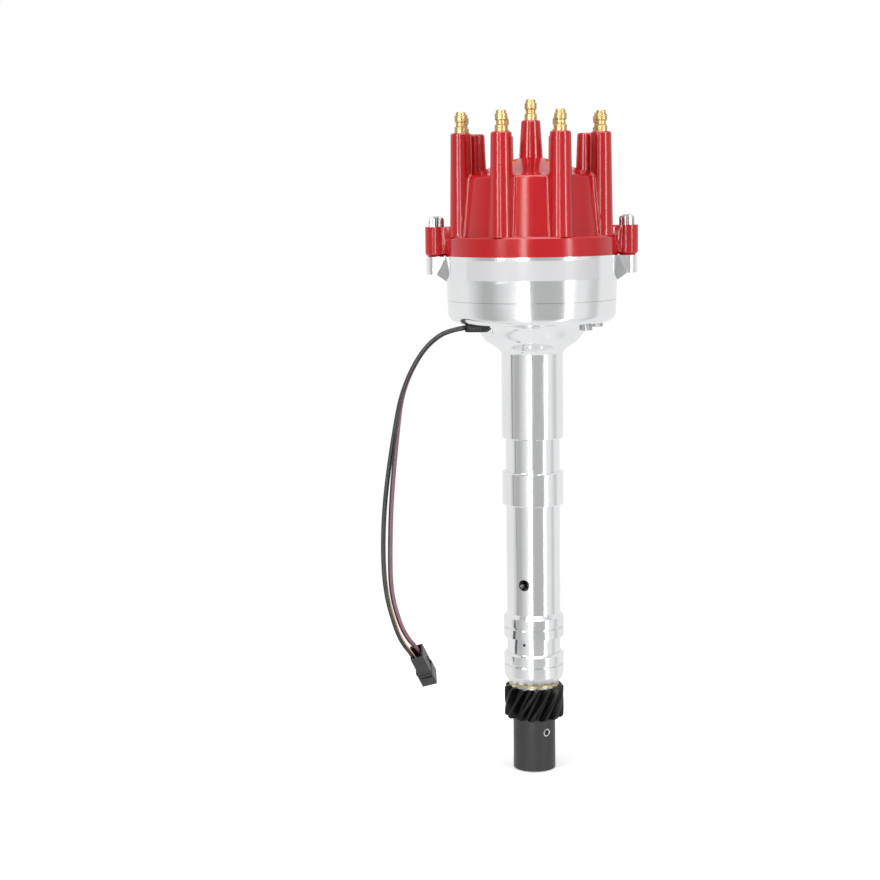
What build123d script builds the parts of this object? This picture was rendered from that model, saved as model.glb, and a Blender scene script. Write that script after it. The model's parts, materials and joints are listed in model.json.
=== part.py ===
"""Ignition distributor: billet housing, male-terminal cap, mechanical advance, magnetic pickup.

Millimetres, +Z up the shaft. The origin is on the shaft axis at the middle of the clamp neck.
+X points at the right-hand cap screw and -Y is the front, where the two pickup wires leave.
The neck radius drives the stem, the body radius drives the bowl, the cap and the pickup, and the
shaft radius drives the bearings, the advance mechanism and the rotor: other radii are steps from them.
"""
import os
from math import cos, degrees, hypot, pi, radians, sin, tan

from build123d import *

os.makedirs("parts", exist_ok=True)

# Fits and clearances
running = 0.04          # radial, turning on a shaft or pin
seat = 0.01             # radial, pressed pieces of one body
free = 0.3              # between pieces that pass each other
past = 1.0              # how far a cut runs past the face it leaves by
break_edge = 0.5
edge_break = 0.7

# Shaft and its bores
shaft_radius = 6.35
bore_gap, bushing_wall, bushing_length = 1.25, 1.85, 36.0

# Housing stem, from the top of the clamp neck down
neck_radius, neck_length = 16.25, 45.2
column_step = 1.95
upper_column_length = 17.9
collar_length = 17.8
middle_column_length = 59.0
journal_relief, journal_cone = 0.12, 2.0
upper_journal_length, oil_gallery_length, lower_journal_length = 10.7, 8.8, 12.5
nose_step, nose_length = 2.73, 4.2
seal_groove_width, seal_groove_depth = 1.5, 1.2
gallery_chamfer = 1.0
oil_hole_radius, oil_hole_drop = 3.0, 42.3
pinhole_radius, pinhole_rise = 0.75, 1.3
oil_azimuth = -111.0

# Housing bowl and body, steps inward from the band under the cap
body_radius = 45.3
body_step, body_flare, body_wall = 0.4, 0.7, 6.3
band_height, body_height = 13.3, 17.6
corner_height, corner_width, corner_bend = 4.3, 5.0, 6.0
floor_step, floor_break, floor_lip = 11.3, 2.5, 0.7
floor_thickness = 4.3
bowl_height = 15.8
bowl_curve = ((0.154, 0.177), (0.508, 0.405), (0.770, 0.734))   # shares of its width and height
vent_radius, vent_step, vent_azimuth = 1.25, 9.65, -135.7

# Cap screws and their lugs
lug_reach = 4.7
housing_lug_radius, housing_lug_height = 5.4, 9.2
housing_lug_web, housing_lug_skin = 2.0, 1.5
cap_lug_radius, cap_lug_height, cap_lug_chamfer = 6.0, 15.7, 1.6
cap_lug_foot = 1.2
lug_joint_drop = 0.5
screw_radius, screw_head_radius, screw_head_height = 2.0, 4.0, 5.2
screw_tip_gap, screw_dome_rise, screw_dome_step = 0.5, 3.6, 1.6
screw_slot_width, screw_slot_depth = 1.2, 1.7

# Cap
skirt_step, skirt_height = 0.3, 10.0
panel_step, panel_draft, panel_height = 5.0, 2.7, 31.5
panel_fillet, tower_flank_fillet, tower_foot_fillet = 2.2, 2.0, 0.6
roof_foot, roof_rise = 1.2, 7.9
tower_count, tower_step = 8, 6.0
tower_radius_low, tower_radius_high, tower_top_rise = 6.2, 5.35, 53.2
centre_tower_low, centre_tower_high, centre_tower_rise = 6.2, 5.0, 59.9
post_step, post_radius_low, post_radius_high, post_rise = 16.0, 5.9, 4.8, 53.0
post_root = 6.0
spigot_depth, spigot_wall = 3.0, 2.85
cap_shoulder, cap_shoulder_rise, cap_ceiling_rise = 2.4, 8.0, 26.0
insert_radius, insert_depth, insert_skin = 2.6, 12.0, 1.0
post_hole_radius = 1.25

# Male terminals and the electrodes on their stems
terminal_foot_radius, terminal_waist_radius, terminal_head_radius = 3.25, 2.55, 3.15
terminal_height, terminal_foot_height, terminal_waist_top, terminal_head_top = 10.8, 3.5, 5.9, 9.2
terminal_chamfer = 0.5
stem_radius = 1.6
electrode_width, electrode_height, electrode_rise, electrode_reach = 4.0, 8.0, 2.0, 0.8

# Drive gear and thrust washers
gear_teeth, gear_bore_gap, tooth_depth, gear_height = 13, 0.13, 3.8, 17.2
helix_angle, helix_steps = 30.0, 4
tooth_chamfer = 0.9
tooth_root_share, tooth_pitch_share, tooth_tip_share = 0.737, 0.542, 0.238   # of the tooth pitch
hub_step, hub_length = 0.77, 28.5
roll_pin_radius, roll_pin_wall, roll_pin_rise, roll_pin_inset = 2.2, 0.8, 21.0, 0.4
roll_pin_azimuth = -53.0
drive_slot_width, drive_slot_depth = 4.9, 6.4
shim_thickness, washer_thickness = 0.8, 1.3
end_play = 0.1

# Sealed ball bearing under the pickup
bearing_outer_radius, bearing_width = 14.2875, 7.94
race_wall = 2.55
bearing_sink = 10.8
bearing_lead_in, bearing_shoulder, bearing_relief, bearing_cone = 2.0, 2.0, 1.5, 2.5
snap_ring_thickness, snap_ring_width, snap_ring_gap = 1.1, 2.2, 5.0
shield_thickness = 0.4
clip_reach, clip_groove_depth, clip_groove_wall = 2.65, 0.8, 1.0
shaft_clip_thickness, shaft_clip_mouth = 0.9, 6.0

# Advance mechanism
sleeve_wall, sleeve_foot = 2.05, 2.0
reluctor_wall, paddle_length, reluctor_height, paddle_width = 2.1, 7.0, 8.0, 3.2
reluctor_lift, reluctor_pin_radius, reluctor_pin_azimuth = 8.6, 1.0, 45.0
plate_gap, plate_thickness, plate_margin = 4.0, 2.5, 1.0
cam_seat_step, cam_wall, cam_flat, cam_azimuth = 0.85, 3.1, 1.2, 20.0
weight_gap, weight_width, weight_thickness, weight_nose = 1.9, 13.5, 4.0, 2.0
weight_start, weight_end = 76.0, 194.0
pivot_inset, pivot_radius = 7.0, 2.5
pivot_azimuth = 90.0
arm_azimuth, arm_inset, arm_gap, arm_width, arm_thickness = 135.0, 4.0, 1.4, 3.4, 1.5
arm_post_radius, post_rise_above_arm = 0.9, 2.2
advance_travel = 14.0
stop_reach, stop_azimuth, stop_ear_height = 2.9, 36.0, 2.0
stop_pin_radius, stop_bush_radius, stop_slot_gap, stop_pin_end = 1.3, 2.2, 0.12, 1.2
spring_radius, spring_wire, spring_lift = 1.5, 0.5, 1.8
spring_start, spring_share = 0.26, 0.48          # shares of the way from pin to arm
standoff_inset, standoff_azimuth, standoff_radius = 4.0, 45.0, 2.9
weight_clip_reach, weight_clip_groove, weight_clip_height, weight_clip_mouth = 1.5, 0.6, 0.9, 3.0

# Rotor, brush and brush spring
rotor_gap, rotor_disc_thickness, rotor_disc_margin = 0.1, 3.0, 6.0
rotor_hub_low, rotor_hub_high, rotor_hub_height = 12.5, 9.5, 15.0
rotor_relief_reach, rotor_relief_depth = 0.8, 1.7
rotor_azimuth = 22.5
spark_gap, blade_tail, blade_width, blade_thickness, blade_bed = 0.9, 7.0, 6.0, 1.4, 1.5
contact_radius, contact_rise = 2.4, 3.1
rotor_screw_radius, rotor_screw_head, rotor_screw_head_height, rotor_screw_grip = 1.5, 3.1, 2.2, 5.0
brush_radius, brush_length = 2.8, 11.0
brush_boss_radius, brush_boss_drop = 5.6, 7.0
brush_spring_inset, brush_spring_wall, brush_spring_length = 0.5, 0.6, 7.0

# Magnetic pickup
pickup_azimuth = -13.5
air_gap, pole_reach = 0.7, 3.6
pole_width, pole_height = 5.0, 4.0
coil_radius, winding_step, flange_thickness = 6.3, 0.8, 1.0
magnet_length, magnet_width, magnet_height = 4.0, 11.0, 10.0
bracket_thickness, bracket_tab, bracket_gap, bracket_margin = 2.0, 1.5, 3.3, 1.0
bracket_width, bracket_span = 10.0, 60.0
pickup_screw_inset, pickup_screw_azimuths = 4.2, (-36.9, 10.0)
pickup_screw_radius, pickup_head_radius, pickup_head_height, pickup_screw_end = 2.0, 3.4, 3.6, 1.5
lead_inset, lead_height, lead_width, lead_gap = 2.4, 4.2, 1.8, 0.2
lead_start, lead_sweep = -46.0, 99.0

# Grommet, wires and connector. Each route is a list of steps from the grommet's outer end
grommet_inset, grommet_azimuth = 5.0, -147.85
grommet_length, grommet_width, grommet_height, grommet_shoulder = 12.0, 6.6, 3.9, 1.0
wire_radius = 1.25
orange_steps = [
    (0.0, 1.5, -1.7), (-6.4, 1.7, -2.8), (-14.9, 2.0, -6.3), (-24.5, 1.8, -16.1),
    (-33.6, 0.7, -34.8), (-38.1, -0.6, -57.6), (-43.1, -3.9, -90.8), (-44.4, -7.2, -118.8),
    (-42.9, -11.2, -140.0), (-38.0, -14.9, -157.0), (-34.4, -13.8, -166.1),
    (-30.07, -9.22, -173.0), (-27.43, -4.7, -179.04)]
violet_steps = [
    (0.0, -1.5, -1.7), (-6.3, -1.5, -2.5), (-14.7, -1.2, -6.0), (-24.0, -1.4, -15.5),
    (-33.2, -2.5, -34.3), (-36.2, -3.5, -57.6), (-39.5, -5.4, -90.5), (-40.4, -7.4, -114.8),
    (-40.3, -10.6, -139.0), (-35.7, -13.4, -155.5), (-31.7, -11.5, -164.3),
    (-27.59, -7.08, -170.31), (-24.94, -2.55, -176.35)]
connector_step = (-28.16, -6.9, -173.07)
connector_axis, connector_across = Vector(-0.330, -0.565, 0.755), Vector(0.941, -0.253, 0.223)
connector_length, connector_width, connector_depth, connector_wall = 23.0, 7.6, 12.0, 1.2
connector_corner, connector_rim = 0.8, 0.7
connector_collar, rear_pocket, front_pocket = 8.0, 7.5, 11.5
latch_rise, latch_width, latch_length, latch_height = 6.5, 3.0, 4.0, 1.3
pin_radius, pin_places, pin_front, pin_rear = 1.2, ((-1.2, -1.9), (1.2, 1.6)), 3.0, 1.5

# Radii that follow from the steps
column_radius = neck_radius - column_step
collar_radius = neck_radius
journal_radius = neck_radius - journal_relief
groove_radius = journal_radius - seal_groove_depth
nose_radius = journal_radius - nose_step
washer_radius = nose_radius
bore_radius = shaft_radius + bore_gap
bushing_radius = shaft_radius + bushing_wall
gear_tip_radius = journal_radius - gear_bore_gap
gear_root_radius = gear_tip_radius - tooth_depth
pitch_radius = gear_tip_radius - tooth_depth / 2
hub_radius = gear_root_radius - hub_step
body_radius_high = body_radius - body_step
body_radius_low = body_radius_high - body_flare
floor_radius = body_radius - floor_step
bowl_radius = floor_radius - floor_break
cavity_radius = body_radius - body_wall
lug_radius = body_radius + lug_reach
skirt_radius = body_radius - skirt_step
panel_radius_low = skirt_radius - panel_step
panel_radius_high = panel_radius_low - panel_draft
tower_pitch = skirt_radius - tower_step
post_pitch = skirt_radius - post_step
spigot_radius = cavity_radius - free / 2
cap_inner_low = spigot_radius - spigot_wall
cap_inner_high = cap_inner_low - cap_shoulder
electrode_inner = cap_inner_high - electrode_reach
rotor_tip = electrode_inner - spark_gap
inner_race_radius = shaft_radius + race_wall
outer_race_inner = bearing_outer_radius - race_wall
clip_radius = shaft_radius + clip_reach
sleeve_radius = shaft_radius + sleeve_wall
reluctor_hub_radius = sleeve_radius + reluctor_wall
paddle_radius = reluctor_hub_radius + paddle_length
cam_seat_radius = shaft_radius - cam_seat_step
cam_long = cam_seat_radius + cam_wall
cam_short = cam_long - cam_flat
weight_inner = cam_long + weight_gap
weight_outer = weight_inner + weight_width
pivot_pitch = weight_outer - pivot_inset
arm_pitch = pivot_pitch - arm_inset
stop_pitch = cam_long + stop_reach
plate_radius = weight_outer + plate_margin
standoff_pitch = plate_radius - standoff_inset
rotor_disc_radius = standoff_pitch + rotor_disc_margin
rotor_relief_radius = pivot_pitch + rotor_relief_reach
pole_start = paddle_radius + air_gap
coil_start = pole_start + pole_reach
tab_end = cavity_radius - bracket_gap
magnet_end = tab_end - bracket_tab
coil_end = magnet_end - magnet_length
coil_length = coil_end - coil_start
bracket_outer = cavity_radius - bracket_margin
bracket_inner = bracket_outer - bracket_width
pickup_screw_pitch = cavity_radius - pickup_screw_inset
lead_pitch = cavity_radius - lead_inset

# Levels that follow from the heights
neck_top, neck_bottom = neck_length / 2, -neck_length / 2
collar_top = neck_bottom - upper_column_length
collar_bottom = collar_top - collar_length
oil_hole_level = collar_bottom - oil_hole_drop
journal_top = collar_bottom - middle_column_length
upper_journal_top = journal_top - journal_cone
gallery_top = upper_journal_top - upper_journal_length
lower_journal_top = gallery_top - oil_gallery_length
pinhole_level = (gallery_top + lower_journal_top) / 2 + pinhole_rise
nose_top = lower_journal_top - lower_journal_length
housing_bottom = nose_top - nose_length
bowl_top = neck_top + bowl_height
floor_underside = bowl_top + floor_lip
floor_top = floor_underside + floor_thickness
corner_top = floor_underside + corner_height
band_bottom = corner_top + body_height
rim = band_bottom + band_height
lug_joint = rim - lug_joint_drop
lug_bottom = lug_joint - housing_lug_height
cap_lug_top = lug_joint + cap_lug_height
skirt_top = rim + skirt_height
panel_top = skirt_top + panel_height
roof_peak = panel_top + roof_foot + roof_rise
tower_top = skirt_top + tower_top_rise
centre_top = skirt_top + centre_tower_rise
post_top = skirt_top + post_rise
cap_shoulder_level = skirt_top + cap_shoulder_rise
electrode_low = cap_shoulder_level + electrode_rise
ceiling = skirt_top + cap_ceiling_rise
bearing_floor = floor_top - bearing_sink
bearing_top = bearing_floor + bearing_width
reluctor_bottom = floor_top + reluctor_lift
reluctor_middle = reluctor_bottom + reluctor_height / 2
sleeve_bottom = reluctor_bottom - sleeve_foot
clip_bottom = sleeve_bottom - free - shaft_clip_thickness
plate_bottom = reluctor_bottom + reluctor_height + plate_gap
plate_top = plate_bottom + plate_thickness
weight_bottom = plate_top + free
weight_top = weight_bottom + weight_thickness
weight_clip_bottom = weight_top + free
arm_bottom = weight_top + arm_gap
arm_top = arm_bottom + arm_thickness
post_end = arm_top + post_rise_above_arm
spring_level = arm_top + spring_lift
rotor_bottom = post_end + rotor_gap
rotor_disc_top = rotor_bottom + rotor_disc_thickness
blade_bottom = rotor_disc_top + rotor_hub_height
blade_top = blade_bottom + blade_thickness
contact_top = blade_top + contact_rise
brush_bottom = contact_top + free
brush_top = brush_bottom + brush_length
spring_seat = brush_top + brush_spring_length
washer_bottom = housing_bottom - end_play - washer_thickness
shim_bottom = washer_bottom - shim_thickness
gear_top = shim_bottom
gear_bottom = gear_top - gear_height
hub_bottom = gear_bottom - hub_length
roll_pin_level = hub_bottom + roll_pin_rise


def place(radius, azimuth, height=0.0):
    """A point at a radius and azimuth about the shaft."""
    return (radius * cos(radians(azimuth)), radius * sin(radians(azimuth)), height)


def radial_plane(azimuth, height):
    """A plane on the shaft axis whose normal points outward at the azimuth."""
    return Plane((0, 0, height), x_dir=place(1, azimuth + 90), z_dir=place(1, azimuth))


def save(builder, label):
    """Label a finished piece and write it."""
    builder.part.label = label
    export_step(builder.part, f"parts/{label}.step")


def turned(points):
    """A turned solid from (radius, height) points, for use inside another piece."""
    with BuildPart(mode=Mode.PRIVATE) as form:
        with BuildSketch(Plane.XZ):
            with BuildLine():
                Polyline(*points, close=True)
            make_face()
        revolve(axis=Axis.Z)
    return form.part


def tube(outer, inner, low, high):
    """A plain ring about the shaft axis."""
    return turned([(inner, low), (outer, low), (outer, high), (inner, high)])


def upright(radius, low, high, centres, mode=Mode.ADD):
    """Round posts or holes along Z at the given centres."""
    with Locations(*[(x, y, (low + high) / 2) for x, y, *_ in centres]):
        Cylinder(radius, high - low, mode=mode)


def pair(pitch, azimuth=0.0):
    """Two points on opposite sides of the shaft."""
    return [place(pitch, azimuth), place(-pitch, azimuth)]


# Housing
lug_centres = pair(lug_radius)
pickup_screw_centres = [place(pickup_screw_pitch, azimuth) for azimuth in pickup_screw_azimuths]
grommet_centre = place(cavity_radius - grommet_inset, grommet_azimuth)
upper_groove = (gallery_top + upper_journal_top) / 2
lower_groove = (nose_top + lower_journal_top) / 2


def seal_groove(middle):
    """Profile points of a seal groove in a journal, from its lower edge to its upper edge."""
    low, high = middle - seal_groove_width / 2, middle + seal_groove_width / 2
    return [(journal_radius, low), (groove_radius, low), (groove_radius, high), (journal_radius, high)]


stem_profile = [
    (bore_radius, housing_bottom), (nose_radius, housing_bottom), (journal_radius, nose_top),
    *seal_groove(lower_groove),
    (journal_radius, lower_journal_top - gallery_chamfer),
    (journal_radius - gallery_chamfer, lower_journal_top), (column_radius, lower_journal_top),
    (column_radius, gallery_top), (journal_radius, gallery_top),
    *seal_groove(upper_groove),
    (journal_radius, upper_journal_top), (column_radius, journal_top),
    (column_radius, collar_bottom), (collar_radius - break_edge, collar_bottom),
    (collar_radius, collar_bottom + break_edge), (collar_radius, collar_top - break_edge),
    (collar_radius - break_edge, collar_top), (column_radius, collar_top),
    (column_radius, neck_bottom), (neck_radius - break_edge, neck_bottom),
    (neck_radius, neck_bottom + break_edge), (neck_radius, neck_top)]
bowl_points = [(neck_radius + across * (bowl_radius - neck_radius), neck_top + up * bowl_height)
               for across, up in ((0, 0), *bowl_curve, (1, 1))]
corner_start = (body_radius_low - corner_width, floor_underside)
corner_end = (body_radius_low, corner_top)
bearing_seat_radius = bearing_outer_radius + seat
with BuildPart() as housing:
    with BuildSketch(Plane.XZ):
        with BuildLine():
            Polyline(*stem_profile)
            Spline(*bowl_points)
            Polyline(bowl_points[-1], (floor_radius, floor_underside), corner_start)
            RadiusArc(corner_start, corner_end, -corner_bend)
            Polyline(corner_end, (body_radius_high, band_bottom), (body_radius, band_bottom),
                     (body_radius, rim), (cavity_radius, rim), (cavity_radius, floor_top),
                     (bearing_seat_radius + bearing_lead_in, floor_top),
                     (bearing_seat_radius, floor_top - bearing_lead_in),
                     (bearing_seat_radius, bearing_floor),
                     (bearing_seat_radius - bearing_shoulder, bearing_floor),
                     (bearing_seat_radius - bearing_shoulder, bearing_floor - bearing_relief),
                     (bore_radius, bearing_floor - bearing_relief - bearing_cone),
                     (bore_radius, housing_bottom))
        make_face()
    revolve(axis=Axis.Z)
    for side in (-1, 1):
        inner_x = side * (cavity_radius + housing_lug_web)
        with BuildSketch(Plane.XZ.offset(-housing_lug_radius)):
            with BuildLine():
                Polyline((inner_x, lug_joint), (side * lug_radius, lug_joint),
                         (side * lug_radius, lug_bottom), (side * body_radius_high, band_bottom),
                         (inner_x, band_bottom), close=True)
            make_face()
        extrude(amount=2 * housing_lug_radius)
    upright(housing_lug_radius, lug_bottom, lug_joint, lug_centres)
    upright(screw_radius + seat, lug_bottom + housing_lug_skin, lug_joint + past,
            lug_centres, Mode.SUBTRACT)
    add(tube(bushing_radius + seat, 0, housing_bottom - past, housing_bottom + bushing_length),
        mode=Mode.SUBTRACT)
    upright(pickup_screw_radius + seat, floor_underside - past, floor_top + past,
            pickup_screw_centres, Mode.SUBTRACT)
    upright(pickup_head_radius + free, bowl_top - corner_height, floor_underside,
            pickup_screw_centres, Mode.SUBTRACT)
    upright(vent_radius, neck_top, floor_top + past, [place(cavity_radius - vent_step, vent_azimuth)],
            Mode.SUBTRACT)
    with BuildSketch(Plane.XY.offset(neck_top)):
        with Locations(grommet_centre[:2]):
            SlotOverall(grommet_length + 2 * seat, grommet_width + 2 * seat)
    extrude(amount=floor_underside - neck_top, mode=Mode.SUBTRACT)
    with BuildSketch(Plane.XY.offset(floor_underside)):
        with Locations(grommet_centre[:2]):
            SlotOverall(grommet_length - 2 * grommet_shoulder, grommet_width - 2 * grommet_shoulder)
    extrude(amount=floor_thickness, mode=Mode.SUBTRACT)
    for radius, level in ((oil_hole_radius, oil_hole_level), (pinhole_radius, pinhole_level)):
        with BuildSketch(radial_plane(oil_azimuth, level)):
            Circle(radius)
        extrude(amount=neck_radius, mode=Mode.SUBTRACT)
save(housing, "housing")

with BuildPart() as lower_bushing:
    add(tube(bushing_radius, shaft_radius + running, housing_bottom, housing_bottom + bushing_length))
    with BuildSketch(radial_plane(oil_azimuth, pinhole_level)):
        Circle(pinhole_radius)
    extrude(amount=neck_radius, mode=Mode.SUBTRACT)
save(lower_bushing, "lower_bushing")


def male_terminal(base, stem_low):
    """A turned terminal whose foot stands at the base level, with its stem down to a lower one."""
    return turned([
        (0, stem_low), (stem_radius, stem_low), (stem_radius, base), (terminal_foot_radius, base),
        (terminal_foot_radius, base + terminal_foot_height - terminal_chamfer),
        (terminal_waist_radius, base + terminal_foot_height),
        (terminal_waist_radius, base + terminal_waist_top - terminal_chamfer),
        (terminal_head_radius, base + terminal_waist_top),
        (terminal_head_radius, base + terminal_head_top - terminal_chamfer),
        (terminal_waist_radius, base + terminal_head_top),
        (terminal_waist_radius, base + terminal_height - terminal_chamfer),
        (terminal_waist_radius - terminal_chamfer, base + terminal_height),
        (0, base + terminal_height)])


# Terminals: one on each tower with its electrode inside the cap, and one for the coil
tower_azimuth = 180.0 / tower_count
electrode_depth = tower_pitch + stem_radius - electrode_inner
electrode_centre = (electrode_inner + electrode_depth / 2, 0, electrode_low + electrode_height / 2)
with BuildPart() as tower_terminals:
    with PolarLocations(0, tower_count, start_angle=tower_azimuth):
        with Locations((tower_pitch, 0, 0)):
            add(male_terminal(tower_top, electrode_low))
        with Locations(electrode_centre):
            Box(electrode_depth, electrode_width, electrode_height)
save(tower_terminals, "tower_terminals")

with BuildPart() as coil_terminal:
    add(male_terminal(centre_top, spring_seat))
save(coil_terminal, "coil_terminal")


def ring_edges(piece, low, high, inner, outer):
    """The edges whose middles lie between two levels and two radii about the shaft."""
    return piece.edges().filter_by(
        lambda edge: low < (edge @ 0.5).Z < high and inner < hypot((edge @ 0.5).X, (edge @ 0.5).Y) < outer)


def taper(radius_low, radius_high, low, high):
    """A tapered tower about the Z axis with its top edge broken."""
    return turned([(0, low), (radius_low, low), (radius_high, high - edge_break),
                   (radius_high - edge_break, high), (0, high)])


# Cap
post_centres = pair(post_pitch)
panel_bend = panel_top - panel_fillet
lug_web = lug_radius - panel_radius_high
web_bottom = rim + cap_lug_foot
with BuildPart() as distributor_cap:
    with BuildSketch(Plane.XZ):
        with BuildLine():
            Polyline((0, ceiling), (cap_inner_high, ceiling), (cap_inner_high, cap_shoulder_level),
                     (cap_inner_low, cap_shoulder_level), (cap_inner_low, rim - spigot_depth),
                     (spigot_radius - edge_break, rim - spigot_depth),
                     (spigot_radius, rim - spigot_depth + edge_break), (spigot_radius, rim),
                     (skirt_radius, rim), (skirt_radius, skirt_top - edge_break),
                     (skirt_radius - edge_break, skirt_top), (panel_radius_low, skirt_top),
                     (panel_radius_high, panel_bend))
            RadiusArc((panel_radius_high, panel_bend), (panel_radius_high - panel_fillet, panel_top),
                      -panel_fillet)
            Polyline((panel_radius_high - panel_fillet, panel_top), (centre_tower_low, roof_peak),
                     (centre_tower_high, centre_top - edge_break),
                     (centre_tower_high - edge_break, centre_top), (0, centre_top), (0, ceiling))
        make_face()
    revolve(axis=Axis.Z)
    with PolarLocations(tower_pitch, tower_count, start_angle=tower_azimuth):
        add(taper(tower_radius_low, tower_radius_high, skirt_top, tower_top))
    fillet(ring_edges(distributor_cap, skirt_top, panel_bend, cap_inner_low, tower_pitch + break_edge)
           .filter_by(lambda edge: edge.length > panel_height / 2), tower_flank_fillet)
    fillet(ring_edges(distributor_cap, skirt_top - break_edge, skirt_top + break_edge,
                      panel_radius_high, skirt_radius - edge_break - seat), tower_foot_fillet)
    with Locations(*post_centres):
        add(taper(post_radius_low, post_radius_high, panel_top - post_root, post_top))
    with Locations(*lug_centres):
        add(turned([(0, lug_joint), (cap_lug_radius - cap_lug_chamfer, lug_joint),
                    (cap_lug_radius, lug_joint + cap_lug_chamfer), (cap_lug_radius, cap_lug_top),
                    (0, cap_lug_top)]))
    for side in (-1, 1):
        with Locations((side * (lug_radius - lug_web / 2), 0, (web_bottom + cap_lug_top) / 2)):
            Box(lug_web, 2 * (cap_lug_radius - break_edge), cap_lug_top - web_bottom)
    add(tube(body_radius + past, cavity_radius, lug_joint - past, rim), mode=Mode.SUBTRACT)
    upright(brush_boss_radius, ceiling - brush_boss_drop, ceiling, [(0, 0)])
    upright(brush_radius + running, ceiling - brush_boss_drop - past, spring_seat, [(0, 0)],
            Mode.SUBTRACT)
    upright(stem_radius, spring_seat - seat, centre_top + past, [(0, 0)], Mode.SUBTRACT)
    upright(screw_radius + free, lug_joint - past, cap_lug_top + past, lug_centres, Mode.SUBTRACT)
    upright(insert_radius, post_top - insert_depth, post_top + past, post_centres, Mode.SUBTRACT)
    with PolarLocations(0, tower_count, start_angle=tower_azimuth):
        with Locations((tower_pitch, 0, (electrode_low + tower_top + past) / 2)):
            Cylinder(stem_radius, tower_top + past - electrode_low, mode=Mode.SUBTRACT)
        with Locations(electrode_centre):
            Box(electrode_depth, electrode_width, electrode_height, mode=Mode.SUBTRACT)
save(distributor_cap, "distributor_cap")

with BuildPart() as post_inserts:
    upright(insert_radius, post_top - insert_depth, post_top, post_centres)
    upright(post_hole_radius, post_top - insert_depth + insert_skin, post_top + past, post_centres,
            Mode.SUBTRACT)
save(post_inserts, "post_inserts")

screw_tip = lug_bottom + housing_lug_skin + screw_tip_gap
screw_head_top = cap_lug_top + screw_head_height
with BuildPart() as cap_screws:
    with Locations(*lug_centres):
        add(turned([(0, screw_tip), (screw_radius, screw_tip), (screw_radius, cap_lug_top),
                    (screw_head_radius, cap_lug_top),
                    (screw_head_radius, cap_lug_top + screw_dome_rise),
                    (screw_head_radius - screw_dome_step, screw_head_top), (0, screw_head_top)]))
    with Locations(*[(x, y, screw_head_top) for x, y, _ in lug_centres]):
        Box(2 * screw_head_radius, screw_slot_width, 2 * screw_slot_depth, mode=Mode.SUBTRACT)
save(cap_screws, "cap_screws")

# Main shaft with the seat for the cam and the slot that turns the oil pump
clip_groove_radius = shaft_radius - clip_groove_depth
with BuildPart() as main_shaft:
    add(turned([(0, hub_bottom), (shaft_radius, hub_bottom), (shaft_radius, plate_top),
                (cam_seat_radius, plate_top), (cam_seat_radius, arm_top), (0, arm_top)]))
    add(tube(shaft_radius + clip_groove_wall, clip_groove_radius, clip_bottom,
             clip_bottom + shaft_clip_thickness), mode=Mode.SUBTRACT)
    with Locations((0, 0, hub_bottom)):
        Box(2 * hub_radius, drive_slot_width, 2 * drive_slot_depth, mode=Mode.SUBTRACT)
    with BuildSketch(radial_plane(roll_pin_azimuth, roll_pin_level)):
        Circle(roll_pin_radius)
    extrude(amount=hub_radius, both=True, mode=Mode.SUBTRACT)
save(main_shaft, "main_shaft")

with BuildPart() as shaft_clip:
    add(tube(clip_radius, clip_groove_radius, clip_bottom, clip_bottom + shaft_clip_thickness))
    with Locations((clip_radius / 2, 0, clip_bottom + shaft_clip_thickness / 2)):
        Box(clip_radius + past, shaft_clip_mouth, shaft_clip_thickness, mode=Mode.SUBTRACT)
save(shaft_clip, "shaft_clip")


# Helical drive gear: right-hand teeth lofted through turned sections, with chamfered tooth ends
def gear_section(height):
    """The toothed outline at a height, turned as far as the helix has carried it."""
    twist = degrees(height * tan(radians(helix_angle)) / pitch_radius)
    half_pitch = 180.0 / gear_teeth
    outline = []
    for tooth in range(gear_teeth):
        middle = twist + 2 * half_pitch * tooth
        for radius, share in ((gear_root_radius, -tooth_root_share), (pitch_radius, -tooth_pitch_share),
                              (gear_tip_radius, -tooth_tip_share), (gear_tip_radius, tooth_tip_share),
                              (pitch_radius, tooth_pitch_share), (gear_root_radius, tooth_root_share)):
            outline.append(place(radius, middle + share * half_pitch)[:2])
    with BuildSketch(Plane.XY.offset(gear_bottom + height), mode=Mode.PRIVATE) as section:
        with BuildLine():
            Polyline(*outline, close=True)
        make_face()
    return section.sketch


with BuildPart() as drive_gear:
    loft([gear_section(gear_height * step / helix_steps) for step in range(helix_steps + 1)],
         ruled=True)
    for end, inward in ((gear_bottom, 1), (gear_top, -1)):
        add(turned([(gear_tip_radius - tooth_chamfer - past, end - inward * past),
                    (gear_tip_radius + past, end - inward * past),
                    (gear_tip_radius + past, end + inward * (tooth_chamfer + past))]),
            mode=Mode.SUBTRACT)
    add(turned([(0, hub_bottom), (hub_radius - break_edge, hub_bottom),
                (hub_radius, hub_bottom + break_edge), (hub_radius, gear_bottom + break_edge),
                (0, gear_bottom + break_edge)]))
    upright(shaft_radius + seat, hub_bottom - past, gear_top + past, [(0, 0)], Mode.SUBTRACT)
    with BuildSketch(radial_plane(roll_pin_azimuth, roll_pin_level)):
        Circle(roll_pin_radius)
    extrude(amount=hub_radius + past, both=True, mode=Mode.SUBTRACT)
save(drive_gear, "drive_gear")

with BuildPart() as gear_roll_pin:
    with BuildSketch(radial_plane(roll_pin_azimuth, roll_pin_level)):
        Circle(roll_pin_radius)
        Circle(roll_pin_radius - roll_pin_wall, mode=Mode.SUBTRACT)
    extrude(amount=hub_radius - roll_pin_inset, both=True)
save(gear_roll_pin, "gear_roll_pin")

for name, low, thickness in (("thrust_washer", washer_bottom, washer_thickness),
                             ("thrust_shim", shim_bottom, shim_thickness)):
    with BuildPart() as washer:
        add(tube(washer_radius, shaft_radius + seat, low, low + thickness))
    save(washer, name)

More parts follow.
